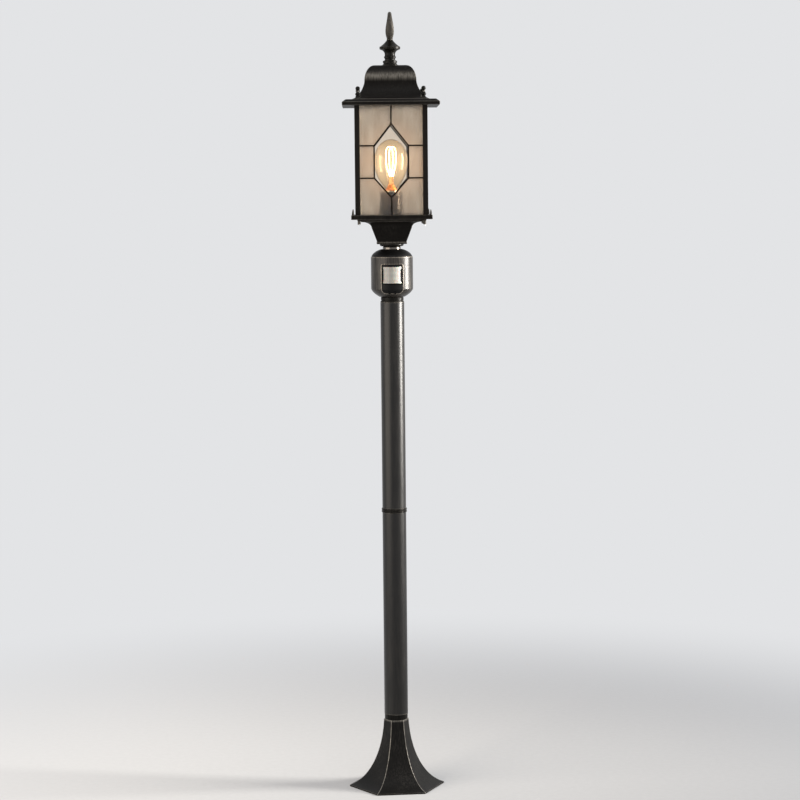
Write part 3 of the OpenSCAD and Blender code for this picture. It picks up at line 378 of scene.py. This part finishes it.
def rolled_face(tree, place):
    """Waves of rolled glass: long slanting ones, and small dimples between them."""
    turned = add(tree, "ShaderNodeMapping",
                 {"Vector": place, "Rotation": (0.0, 0.5, 0.5), "Scale": (1.0, 1.0, 0.35)})
    waves = add(tree, "ShaderNodeTexNoise", {"Vector": turned.outputs[0], "Scale": per_mm(9), "Detail": 2.0,
                                             "Distortion": 0.6})
    dimples = add(tree, "ShaderNodeTexNoise", {"Vector": place, "Scale": per_mm(2.6), "Detail": 2.0})
    scaled = add(tree, "ShaderNodeMath", {0: dimples.outputs[0], 1: 0.22}, operation="MULTIPLY")
    return add(tree, "ShaderNodeMath", {0: waves.outputs[0], 1: scaled.outputs[0]}, operation="ADD").outputs[0]


# The frosted panes and the amber bulb glass carry a painted glow that is strongest near the filament.
frosted = glass("etched_cathedral_glass", "#e2d8ca", 0.2, "#d9d0c1", rolled_face,
                lit=("#ffcda0", 0.17, 25, 115), stain="#d6c9b9")
clear = glass("clear_window_glass", "#f4ebdf", 0.0, "#ece6dc")
amber = glass("amber_soda_glass", "#fdf2de", 0.03, "#f7dca8", lit=("#ffe8c9", 0.1, 22, 50))
print("glass", frosted.name, clear.name, amber.name)

# %% [markdown]
# The leading is lead came with a dark brown patina, soft and a little uneven. The lampholder is porcelain with a
# dark brown glaze. The circuit board is glass fibre under green lacquer. The filament is carbon wire that glows
# nearly white in its middle. The glass stem and the pressed cone that carry it have its orange light painted on,
# as a weak orange glow of their own and, on the cone, as an orange tone.

# %% Leading, porcelain, board and filament
FILAMENT_GLOW = 13.0               # strength of the wire's own light


def mixed_face(name, first, second, grain_mm, rough, bump_mm=0.1, glow=None, shine=0.5):
    """A face whose colour wanders between two tones in grains of one size, with a slight relief. glow is a colour
    and a strength."""
    material, tree, out = new_material(name)
    place = add(tree, "ShaderNodeTexCoord").outputs["Object"]
    grain = add(tree, "ShaderNodeTexNoise", {"Vector": place, "Scale": per_mm(grain_mm), "Detail": 3.0})
    spread = add(tree, "ShaderNodeMapRange", {0: grain.outputs[0], 1: 0.35, 2: 0.65})
    colour = add(tree, "ShaderNodeMix", {0: spread.outputs[0], 6: linear(first), 7: linear(second)},
                 data_type="RGBA")
    bump = add(tree, "ShaderNodeBump", {"Height": grain.outputs[0], "Strength": 0.4, "Distance": bump_mm * MM})
    inputs = {"Base Color": colour.outputs[2], "Roughness": rough, "IOR": 1.5, "Normal": bump.outputs[0],
              "Specular IOR Level": shine}
    if glow:
        inputs["Emission Color"], inputs["Emission Strength"] = linear(glow[0]), glow[1]
    face = add(tree, "ShaderNodeBsdfPrincipled", inputs)
    tree.links.new(face.outputs[0], out.inputs["Surface"])
    return material


came_lead = mixed_face("patinated_lead_came", "#0e0a06", "#1c140d", 4.0, 0.6, shine=0.08)
porcelain = mixed_face("brown_glazed_porcelain", "#16100b", "#201810", 14.0, 0.2, bump_mm=0.03, shine=0.35)
board_lacquer = mixed_face("green_board_lacquer", "#1f4a30", "#2b5a3a", 3.0, 0.35)
carbon_glow = mixed_face("glowing_carbon_wire", "#ffcf8a", "#ffe2b0", 6.0, 0.5, glow=("#ffe9c6", FILAMENT_GLOW))
# painted light: the stem and the cone glow orange, standing in for the filament's light on them
stem_glow = glass("stem_glass_in_orange_light", "#ffe6c2", 0.05, "#f7dca8", lit=("#ffa850", 0.22, 36, 56))
cone_glow = mixed_face("pressed_glass_in_orange_light", "#c9813c", "#e8b070", 2.2, 0.3, bump_mm=0.6,
                       glow=("#e08a3c", 0.12))
print("filament glows with", FILAMENT_GLOW, "around", BULB_HEART)

# %% [markdown]
# Now each CAD node gets its finish. The list goes from the ground up, and a node that is modelled again further down
# is in it as well, so that nothing is left without a real material.

# %% Finishes for the frame's nodes
SIDES = ("front", "right", "back", "left")
finishes = {
    foot_coat: ["foot"],
    cast_coat: ["lantern_neck", "tray", "brim", "bell", "finial_loop"],
    turned_coat: ["foot_collar", "joint_ring", "head_collar", "neck_ring", "tie_nuts", "roof_nuts", "finial"],
    tube_coat: ["lower_pole", "upper_pole"],
    head_coat: ["sensor_housing"],
    frame_coat: ["post_1", "post_2", "post_3", "post_4", "top_frame"],
    black_abs: ["sensor_cap", "sensor_insert", "dial_time", "dial_light"],
    milky_lens: ["sensor_lens"],
    zinc: ["ground_ring", "foot_screws", "foot_nipple", "stem", "stem_nut", "tray_screws", "tie_rods",
           "holder_nipple", "finial_nut"],
    turned_steel: ["spacer"],
    nickel_brass: ["bulb_cap"],
    frosted: [f"frosted_{side}" for side in SIDES],
    clear: [f"clear_{side}" for side in SIDES],
    came_lead: [f"cames_{side}" for side in SIDES],
    amber: ["bulb_glass"],
    stem_glow: ["bulb_stem"],
    carbon_glow: ["bulb_filament"],
    porcelain: ["lampholder"],
    board_lacquer: ["sensor_board"],
}
for finish, names in finishes.items():
    for name in names:
        for slot in nodes[name].material_slots:
            slot.link = "OBJECT"
            slot.material = finish
dressed = {name for names in finishes.values() for name in names}
print("dressed", len(dressed), "of", len(nodes), "missing", sorted(set(nodes) - dressed))

# %% [markdown]
# Several castings are lofts: one outline, square or six-sided, that changes size along its height. The frame has
# them with a few flat steps. Here they are skinned again with many more, and their faces are shaded smooth except
# across real edges.

# %% Lofts
def prism_ring(sides, turn, apothem, rounding, height, steps=4):
    """One outline of a prism with rounded corners, in millimetres."""
    reach = (apothem - rounding) / math.cos(math.pi / sides)
    ring = []
    for side in range(sides):
        middle = turn + 2 * math.pi * side / sides
        for i in range(steps + 1):
            angle = middle + 2 * math.pi / sides * (i / steps - 0.5)
            ring.append((reach * math.cos(middle) + rounding * math.cos(angle),
                         reach * math.sin(middle) + rounding * math.sin(angle), height))
    return ring


def bezier(points, t):
    """Point on a cubic curve."""
    a, b, c, d = (np.array(p, float) for p in points)
    return (1 - t) ** 3 * a + 3 * (1 - t) ** 2 * t * b + 3 * (1 - t) * t * t * c + t ** 3 * d


def curve(points, steps):
    """A cubic curve as (half width, height) points."""
    return [tuple(bezier(points, i / steps)) for i in range(steps + 1)]


def arc(centre, wide, tall, first, last, steps):
    """Part of an ellipse, in degrees, as (half width, height) points."""
    angles = [math.radians(first + (last - first) * i / steps) for i in range(steps + 1)]
    return [(centre[0] + wide * math.cos(a), centre[1] + tall * math.sin(a)) for a in angles]


SHARP_FROM = 30                    # degrees between two faces, from which their edge stays sharp


def add_piece(name, mesh):
    """A mesh as an object in the scene."""
    piece = bpy.data.objects.new(name, mesh)
    bpy.context.scene.collection.objects.link(piece)
    return piece


def loft(name, rings, material, closed=False, sharp=SHARP_FROM, rub_and_highlight=None):
    """Skins rings of equal length, in millimetres, into a closed mesh. closed joins the last ring to the first, and
    the last argument tells how much rubbed silver each point shows; on the bell's dome it paints a highlight band."""
    count = len(rings[0])
    points = [Vector(p) * MM for ring in rings for p in ring]
    faces = []
    for k in range(len(rings) if closed else len(rings) - 1):
        a, b = k * count, (k + 1) % len(rings) * count
        faces += [(a + i, a + (i + 1) % count, b + (i + 1) % count, b + i) for i in range(count)]
    if not closed:
        faces += [tuple(range(count - 1, -1, -1)), tuple((len(rings) - 1) * count + i for i in range(count))]
    mesh = bpy.data.meshes.new(name)
    mesh.from_pydata(points, [], faces)
    mesh.attributes.new("rub_and_highlight", "FLOAT", "POINT").data.foreach_set("value", rub_and_highlight or [0.0] * len(points))
    faced = bmesh.new()
    faced.from_mesh(mesh)
    bmesh.ops.recalc_face_normals(faced, faces=faced.faces)
    faced.to_mesh(mesh)
    faced.free()
    mesh.shade_smooth()
    mesh.set_sharp_from_angle(angle=math.radians(sharp))
    mesh.materials.append(material)
    return add_piece(name, mesh)


def cut(piece, cutters, how="DIFFERENCE"):
    """Takes the cutters out of a piece, or keeps what lies within them, and throws them away."""
    for cutter in cutters:
        bite = piece.modifiers.new("cut", "BOOLEAN")
        bite.operation, bite.object, bite.solver = how, cutter, "EXACT"
    bpy.context.view_layer.update()
    whole = bpy.data.meshes.new_from_object(piece.evaluated_get(bpy.context.evaluated_depsgraph_get()))
    piece.modifiers.clear()
    piece.data = whole
    whole.set_sharp_from_angle(angle=math.radians(SHARP_FROM))
    for cutter in cutters:
        bpy.data.objects.remove(cutter)


def seat(piece, body, slot, *stands_for):
    """Lets a piece ride on its body, and stand for CAD nodes where it replaces them."""
    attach(piece, body)
    if stands_for:
        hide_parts(*stands_for)
    print(piece.name, len(piece.data.vertices), "on", body)


def smooth_faces(piece):
    """Lets large faces keep their own direction beside narrow rounded ones."""
    piece.modifiers.new("weighted", "WEIGHTED_NORMAL").keep_sharp = True


def rod(name, start, end, radius, material, sides=32):
    """A round rod between two points, in millimetres."""
    along = (Vector(end) - Vector(start)).normalized()
    turn = along.to_track_quat("Z", "Y").to_matrix()
    rings = [[Vector(at) + turn @ Vector((radius * math.cos(a), radius * math.sin(a), 0))
              for a in np.linspace(0, 2 * math.pi, sides, endpoint=False)] for at in (start, end)]
    return loft(name, rings, material)


def corners(distance):
    """The four places at that distance from the middle, both ways."""
    return [(x * distance, y * distance) for x in (-1, 1) for y in (-1, 1)]


def prism_loft(name, sides, turn, profile, rounding, base, material, steps=4, ridge=0.0):
    """A loft with flat sides over (half width, height) points above a base height. A third number in a point is the
    silver rubbed on there, and on the bell's dome a painted highlight band; ridge is the silver rubbed on the rounded
    corners."""
    rings = [prism_ring(sides, turn, point[0], rounding, base + point[1], steps) for point in profile]
    on_corner = [1 - abs(2 * i / steps - 1) ** 2 for i in range(steps + 1)]
    rub_and_highlight = [max(ridge * here, *point[2:3], 0.0) for point in profile for here in on_corner * sides]
    return loft(name, rings, material, rub_and_highlight=rub_and_highlight)


def square_loft(name, profile, rounding, base, material):
    """A loft with four sides, square to the lantern's front."""
    return prism_loft(name, 4, math.pi / 4, profile, rounding, base, material)


PIPE_HOLE = 8.1                    # radius of the hole for a pipe, in foot and neck
print("a square outline has", len(prism_ring(4, math.pi / 4, 20, 1, 0)), "points")

# %% [markdown]
# The foot: six faces that sweep out from the collar to the ground. Their ridges are a little rounded, and that is
# where the silver was rubbed on. It is hollow, with a wall of nearly five millimetres, and two sunk screws hold it to
# the ring on the ground. In the photograph it was screwed on five degrees off the lantern's front.

# %% Foot
FOOT_TOP, RIDGE, FOOT_WALL = 132.5, 1.7, 4.8
TURNED = math.radians(5.5)
sweep = curve([(93, 3), (50.53, 15.9), (27, 72.875), (24.5, FOOT_TOP)], 44)
flare = [(r * math.cos(math.pi / 6), z) for r, z in sweep]
skirt = [(flare[0][0] - 0.8, 0.0), (flare[0][0] - 0.2, 0.3), (flare[0][0], 1.0)]
shoulder = [(flare[-1][0] - 0.1, FOOT_TOP - 0.3, 0.4), (flare[-1][0] - 0.5, FOOT_TOP)]
foot = prism_loft("cast_foot", 6, TURNED, skirt + flare[:-1] + shoulder, RIDGE, 0, foot_coat, ridge=0.7)

within = [(half - FOOT_WALL, z - 2) for half, z in flare if z < FOOT_TOP - 6]
hollow = [(within[0][0], -1.0)] + within + [(within[-1][0] - 1, FOOT_TOP - 5)]
bites = [prism_loft("hollow", 6, TURNED, hollow, 1.2, 0, foot_coat),
         rod("pipe_hole", (0, 0, FOOT_TOP - 20), (0, 0, FOOT_TOP + 5), PIPE_HOLE, foot_coat)]
SCREW_Z, SCREW_SEAT, SCREW_R, SCREW_HEAD_R = 11.0, 56.45, 2.8, 4.8
level = Vector((0, 0, SCREW_Z))
for screw_angle in (math.radians(30), math.radians(150)):
    out = Vector((math.cos(screw_angle), math.sin(screw_angle), 0))
    bites += [rod("screw_hole", level + 40 * out, level + 95 * out, SCREW_R, foot_coat),
              rod("sunk_head", level + SCREW_SEAT * out, level + 95 * out, SCREW_HEAD_R, foot_coat)]
cut(foot, bites)
smooth_faces(foot)
seat(foot, "stand", "cast_metal", "foot")

# %% [markdown]
# The sensor head: a round housing whose underside curves in to the pole, with a window cut from the front. The black
# carrier fills the window. It stands back behind the lens and bulges out below it as a chin, with holes for the two
# dials. The window's lower corners are rounded, as the photograph shows them.

# %% Sensor head
HEAD_Z, HEAD_R, HEAD_H, WALL = 957.6, 40.4, 77.3, 2.2
CHIN = 1.3                                      # how far the carrier's chin stands proud of the housing
WINDOW = (20.5, 7.4, 63.3, 9.5, 2.5)            # half width, foot, top, round of the lower and of the upper corners
CARRIER_EDGE = (20.3, 7.6, 63.1, 9.3, 2.3)      # the same for the carrier in it
LENS_HALF, LENS_LOW, LENS_HIGH = 17.7, 26.8, 58.3
DIAL_X, DIAL_HOLE = 5.5, 2.9
belly_points = [(24.3, 0.0), (31.545, 3.85), (38.5, 9.548), (HEAD_R, 15.4)]
belly = curve(belly_points, 28)


def belly_line(grow):
    """The underside's outline, moved outwards by a distance."""
    line = []
    for i, (r, z) in enumerate(belly):
        ahead = np.array(belly[min(i + 1, len(belly) - 1)]) - np.array(belly[max(i - 1, 0)])
        ahead /= np.linalg.norm(ahead)
        line.append((r + grow * ahead[1], z - grow * ahead[0]))
    return line


def shell(name, profile, material, sides=128):
    """Revolves a closed outline of (radius, height) points about the lamp's axis."""
    angles = np.linspace(0, 2 * math.pi, sides, endpoint=False)
    rings = [[(p[0] * math.cos(a), p[0] * math.sin(a), HEAD_Z + p[1]) for a in angles] for p in profile]
    rub_and_highlight = [(p[2] if len(p) > 2 else 0.0) for p in profile for _ in angles]
    return loft(name, rings, material, closed=True, rub_and_highlight=rub_and_highlight)


def block(name, outline, back):
    """A prism on an outline of (x, z) points, from a depth inside the head to well in front of it."""
    return loft(name, [[(x, y, HEAD_Z + z) for x, z in outline] for y in (back, -50)], black_abs)


def window(half, low, high, corner, top):
    """A prism in the shape of the window, with round corners."""
    outline = []
    for x, z, r, first in ((half, low, corner, 270), (half, high, top, 0), (-half, high, top, 90),
                           (-half, low, corner, 180)):
        centre = (x - math.copysign(r, x), z + r if z == low else z - r)
        outline += arc(centre, r, r, first, first + 90, 8)
    return block("window", outline, -6)


wall = [(HEAD_R, 30), (HEAD_R, 60), (HEAD_R, 75)]
rim = [(HEAD_R, 76.1, 0.3), (40.2, 76.8, 0.55), (39.7, 77.2, 0.3), (39.2, HEAD_H)]
lining = [(HEAD_R - WALL, HEAD_H), (HEAD_R - WALL, 40)] + belly_line(-WALL)[::-1]
housing = shell("turned_housing", [(8.3, 0.0), (16, 0.0)] + belly + wall + rim + lining + [(8.3, WALL)], head_coat)
cut(housing, [window(*WINDOW)])
smooth_faces(housing)
seat(housing, "sensor_head", "head_metal", "sensor_housing")

chin = belly_line(CHIN) + [(HEAD_R + CHIN, 20), (HEAD_R + 1.1, 24.6), (HEAD_R + 0.4, 25.2)]
bed = [(39.0, 25.4), (39.0, 66), (37.9, 66), (37.9, 30)]
carrier = shell("carrier", chin + bed + belly_line(-2.5)[::-1], black_abs)
cut(carrier, [window(*CARRIER_EDGE)], "INTERSECT")
bites = [block("lens_hole", [(LENS_HALF, LENS_LOW), (LENS_HALF, LENS_HIGH), (-LENS_HALF, LENS_HIGH),
                             (-LENS_HALF, LENS_LOW)], -10)]
spot = np.array(bezier(belly_points, 0.66))
along = np.array(bezier(belly_points, 0.67)) - spot
along /= np.linalg.norm(along)
dial_out = Vector((0, -along[1], -along[0]))
for x in (-DIAL_X, DIAL_X):
    middle = Vector((x, -spot[0], HEAD_Z + spot[1]))
    bites.append(rod("dial_hole", middle - 10 * dial_out, middle + 8 * dial_out, DIAL_HOLE, black_abs, 40))
cut(carrier, bites)
smooth_faces(carrier)
seat(carrier, "sensor_head", "black_plastic", "sensor_insert")

RIB_X, RIB_HALF, RIB_FRONT, RIB_BACK = 19.4, 0.9, -36.5, -17.0
for number, x in enumerate((-RIB_X, RIB_X)):
    plan = [(x - RIB_HALF, RIB_FRONT), (x + RIB_HALF, RIB_FRONT), (x + RIB_HALF, RIB_BACK), (x - RIB_HALF, RIB_BACK)]
    rib = loft(f"board_rib_{number + 1}", [[(*corner, HEAD_Z + z) for corner in plan] for z in (31, 54)], black_abs)
    seat(rib, "sensor_head", "black_plastic")

# %% [markdown]
# The lantern's neck: a lip at its foot, straight sides that lean outwards, and a cove that carries a thin square
# flange. It is two and a half millimetres wider each way than in the frame, as in the photograph. The pipe comes up
# through its floor, and four screws from the tray end in the cove.

# %% Neck of the lantern
NECK_Z, NECK_TOP = 1059.1, 45.0
TRAY_SCREWS = 42.83                # the screws' distance from the middle, both ways
SCREW_BORE = 2.05
neck_lip = [(28.1, 0.0), (28.6, 0.25), (28.9, 0.9), (28.9, 2.4, 0.2), (28.8, 3.2, 0.4), (28.35, 3.9, 0.35),
            (28.3, 4.3, 0.1), (28.5, 5.2), (29.1, 6.9)]
leaning = [(29.1 + 9.4 * t, 6.9 + 25.1 * t) for t in (0.25, 0.5, 0.75)]
cove = arc((57.8, 32.0), 19.3, 10.8, 180, 90, 20)
flange = [(58.5, 42.85), (58.8, 43.2), (58.8, 44.4), (58.5, 44.8), (58.1, NECK_TOP)]
neck = square_loft("cast_neck", neck_lip + leaning + cove + flange, 0.9, NECK_Z, cast_coat)
bites = [square_loft("hollow", [(25.9, 3), (25.9, 6.9), (35.3, 32), (39.3, 42), (39.3, 46)], 0.8, NECK_Z, cast_coat),
         rod("pipe_hole", (0, 0, NECK_Z - 1), (0, 0, NECK_Z + 4), PIPE_HOLE, cast_coat)]
bites += [rod("screw_hole", (x, y, NECK_Z + 37), (x, y, NECK_Z + 46), SCREW_BORE, cast_coat)
          for x, y in corners(TRAY_SCREWS)]
cut(neck, bites)
smooth_faces(neck)
seat(neck, "stand", "cast_metal", "lantern_neck")

# %% [markdown]
# The tray that the lantern's sides stand in: a square plate with an upright rim, a narrower step under it, and a
# point on each corner. The rim is as wide as the photograph shows it, three millimetres more than the frame has.

# %% Tray
def turned_piece(name, profile, place, material, sides=40):
    """Revolves (radius, height) points about an upright axis."""
    angles = np.linspace(0, 2 * math.pi, sides, endpoint=False)
    rings = [[(place[0] + r * math.cos(a), place[1] + r * math.sin(a), place[2] + z) for a in angles]
             for r, z in profile]
    return loft(name, rings, material)


STEP_Z, TRAY_HALF, RIM_TOP = 1104.1, 76.9, 10.7
ROD_AT = 62.0                      # the tie rods' distance from the middle, both ways
TRAY_HOLE, NIPPLE_HOLE = 2.1, 5.1
plate = [(65.0, 0.0), (65.5, 0.4), (65.5, 2.4), (76.3, 2.4), (76.7, 2.6), (TRAY_HALF, 3.1),
         (TRAY_HALF, RIM_TOP - 0.8), (76.6, RIM_TOP - 0.2), (76.0, RIM_TOP)]
tray = square_loft("cast_tray", plate, 1.2, STEP_Z, cast_coat)
bites = [square_loft("pocket", [(69.3, 5.4), (69.3, 12)], 0.3, STEP_Z, cast_coat),
         rod("nipple_hole", (0, 0, STEP_Z - 1), (0, 0, STEP_Z + 7), NIPPLE_HOLE, cast_coat)]
for x, y in corners(TRAY_SCREWS) + corners(ROD_AT):
    bites.append(rod("tray_hole", (x, y, STEP_Z - 1), (x, y, STEP_Z + 7), TRAY_HOLE, cast_coat))
cut(tray, bites)
smooth_faces(tray)
seat(tray, "stand", "cast_metal", "tray")
spike = [(1.9, -0.5), (2.1, 0.2), (1.7, 0.9), (1.8, 3.0), (1.4, 6.5), (0.9, 9.4), (0.4, 10.4)]
for number, (x, y) in enumerate(corners(TRAY_HALF - 3.2)):
    tip = turned_piece(f"tray_point_{number + 1}", spike, (x, y, STEP_Z + RIM_TOP), cast_coat, 20)
    seat(tip, "stand", "cast_metal")

# %% [markdown]
# The roof's brim: an upright edge, a small step above it, and a bevel that leads to the bell. It reaches 92 mm from
# the middle, as in the photograph, where the frame has 88. Underneath, a pocket takes the square on top of the corner
# angles, and the tie rods come up through four holes.

# %% Brim
BRIM_Z, BRIM_TOP, ROD_HOLE = 1321.2, 11.1, 2.3
edge = [(91.2, 0.0), (91.75, 0.25), (92.0, 0.8), (92.0, 5.7), (91.8, 6.35, 0.35), (91.3, 6.6, 0.35),
        (90.9, 6.75), (90.8, 7.0)]
bevel = [(90.8 - 5.8 * t, 7.0 + 4.1 * t) for t in (0.3, 0.65, 0.94)] + [(84.4, BRIM_TOP)]
brim = square_loft("cast_brim", edge + bevel, 1.2, BRIM_Z, cast_coat)
bites = [square_loft("pocket", [(69.3, -1), (69.3, 3.7)], 0.3, BRIM_Z, cast_coat),
         square_loft("opening", [(51.2, -1), (51.2, 12)], 1.0, BRIM_Z, cast_coat)]
bites += [rod("rod_hole", (x, y, BRIM_Z - 1), (x, y, BRIM_Z + 12), ROD_HOLE, cast_coat)
          for x, y in corners(ROD_AT)]
cut(brim, bites)
smooth_faces(brim)
seat(brim, "roof", "cast_metal", "brim")

# %% [markdown]
# The bell: the flare rises from the brim in an open curve, turns upright at the waist and closes in a
# domed square. Four round seats are milled into its corners for the ornamental nuts.

# %% Bell
BELL_Z, KNOB_SEAT, KNOB_HOLE, STUD_HOLE = 1332.3, 1.9, 5.5, 4.1
flare_line = curve([(72.6, 0.9), (62.0, 4.0), (51.0, 20.0), (49.2, 34.6)], 26)
dome_line = [(half, z, 0.5 * math.exp(-((z - 45) / 6) ** 2))    # with a painted highlight band round its shoulder, where the overhead lamp's reflection falls
             for half, z in arc((29.5, 35), 19.8, 30.4, 4, 90, 24)]
bell = square_loft("cast_bell", [(72.2, 0.0), (72.8, 0.4)] + flare_line + dome_line, 1.4, BELL_Z, cast_coat)
vault = [(51.2, -1), (48.2, 14)] + arc((27.7, 35), 16.5, 27.4, 0, 90, 14)
bites = [square_loft("vault", vault, 1.0, BELL_Z, cast_coat),
         rod("stud_hole", (0, 0, BELL_Z + 55), (0, 0, BELL_Z + 70), STUD_HOLE, cast_coat)]
for x, y in corners(ROD_AT):
    bites += [rod("rod_hole", (x, y, BELL_Z - 1), (x, y, BELL_Z + 35), ROD_HOLE, cast_coat),
              rod("nut_seat", (x, y, BELL_Z + KNOB_SEAT), (x, y, BELL_Z + 35), KNOB_HOLE, cast_coat, 48)]
cut(bell, bites)
smooth_faces(bell)
seat(bell, "roof", "cast_metal", "bell")

# %% [markdown]
# The loop on the finial is cast in the fore-and-aft plane. Its strand is an oval that is widest low on both sides
# and slims towards the top, where a hook would hang.

# %% Loop
LOOP_Z, LOOP_HIGH, STRAND, LOOP_STEPS = 1446.5, 53.5, 9.0, 96
LOOP_RUB = 0.22                    # silver rubbed on all over it
deep, tall = 17.5, (LOOP_HIGH - STRAND) / 2
rings = []
for i in range(LOOP_STEPS):
    angle = 2 * math.pi * i / LOOP_STEPS
    low = (1 - math.cos(angle)) / 2
    half_width = 3.8 + 2 * low + 4.6 * low * math.sin(angle) ** 2
    centre = Vector((0, deep * math.sin(angle), LOOP_Z + LOOP_HIGH / 2 + tall * math.cos(angle)))
    outwards = Vector((0, tall * math.sin(angle), deep * math.cos(angle))).normalized()
    rings.append([centre + STRAND / 2 * math.cos(b) * outwards + half_width * math.sin(b) * Vector((1, 0, 0))
                  for b in np.linspace(0, 2 * math.pi, 24, endpoint=False)])
loop = loft("cast_loop", rings, cast_coat, closed=True, rub_and_highlight=[LOOP_RUB] * (len(rings) * len(rings[0])))
seat(loop, "roof", "cast_metal", "finial_loop")
loop_foot = rod("loop_foot", (0, 0, LOOP_Z), (0, 0, LOOP_Z + 3.6), 5.7, cast_coat, 48)
seat(loop_foot, "roof", "cast_metal")

# %% [markdown]
# The bulb: pear-shaped, blown a millimetre thick, 64 mm wide so that it fills the clear hexagon from edge to edge, as
# it does in the photograph. A cone of pressed glass at its foot holds the stem and takes the filament's orange light.

# %% Bulb
GLASS_FOOT, BULB_R, BULB_H = 1160.8, 32.0, 98.2


def blown(shrink):
    """The bulb's outline from its neck to its crown, made smaller all round."""
    r, h, widest = BULB_R - shrink, BULB_H - shrink, BULB_H * 0.6
    side = curve([(13.1 - shrink, 0.0), (15.6 - shrink, BULB_H * 0.15), (r - 0.5, BULB_H * 0.2), (r, widest)], 30)
    return side + arc((0, widest), r, h - widest, 5, 89.9, 24)


angles = np.linspace(0, 2 * math.pi, 96, endpoint=False)
rings = [[(r * math.cos(a), r * math.sin(a), GLASS_FOOT + z) for a in angles]
         for r, z in blown(0) + blown(1.0)[::-1]]
bulb = loft("blown_bulb", rings, amber, closed=True, sharp=60)
seat(bulb, "bulb", "bulb_glass", "bulb_glass")
cone = turned_piece("stem_cone", [(10.6, 0.2), (11.0, 1.0), (10.2, 3.0), (8.0, 6.0), (6.4, 9.5), (5.9, 11.0)],
                    (0, 0, GLASS_FOOT), cone_glow)
seat(cone, "bulb", "bulb_glass")

# %% [markdown]
# The bulb's filament: two carbon wires in tall hairpin loops, fixed in the pinch of the glass stem. The glowing wire
# is drawn a millimetre and a half thick, because a lit wire looks thicker than it is.

# %% Filament
def wire(name, points, radius, material):
    """A round wire that follows the points smoothly, in millimetres, as a mesh."""
    path = bpy.data.curves.new(name, "CURVE")
    path.dimensions, path.bevel_depth, path.bevel_resolution, path.use_fill_caps = "3D", radius * MM, 3, True
    line = path.splines.new("NURBS")
    line.points.add(len(points) - 1)
    for knot, (x, y, z) in zip(line.points, points):
        knot.co = (x * MM, y * MM, z * MM, 1)
    line.use_endpoint_u, line.order_u, line.resolution_u = True, 4, 8
    made = bpy.data.objects.new(name, path)
    bpy.context.scene.collection.objects.link(made)
    bpy.context.view_layer.update()
    mesh = bpy.data.meshes.new_from_object(made.evaluated_get(bpy.context.evaluated_depsgraph_get()))
    bpy.data.objects.remove(made)
    mesh.materials.clear()
    mesh.materials.append(material)
    mesh.shade_smooth()
    return add_piece(name, mesh)


WIRE_R = 0.8
low, high = GLASS_FOOT + 31, GLASS_FOOT + 82
hairpins = []
for number, (left, right, y) in enumerate(((-9.5, 3.5, -2.0), (-3.0, 9.5, 4.0))):
    path = [(-1.5 + 3 * number, 0, low - 4), (left * 0.5, y, low + 4), (left, y, low + 14), (left, y, high - 16),
            (left, y, high - 2), ((left + right) / 2, y, high + 3), (right, y, high - 2), (right, y, high - 16),
            (right, y, low + 14), (right * 0.5, y, low + 4), (1.5 + 3 * number, 0, low - 4)]
    hairpins.append(wire(f"filament_{number + 1}", path, WIRE_R, carbon_glow))
seat(hairpins[0], "bulb", "filament", "bulb_filament")
seat(hairpins[1], "bulb", "filament")
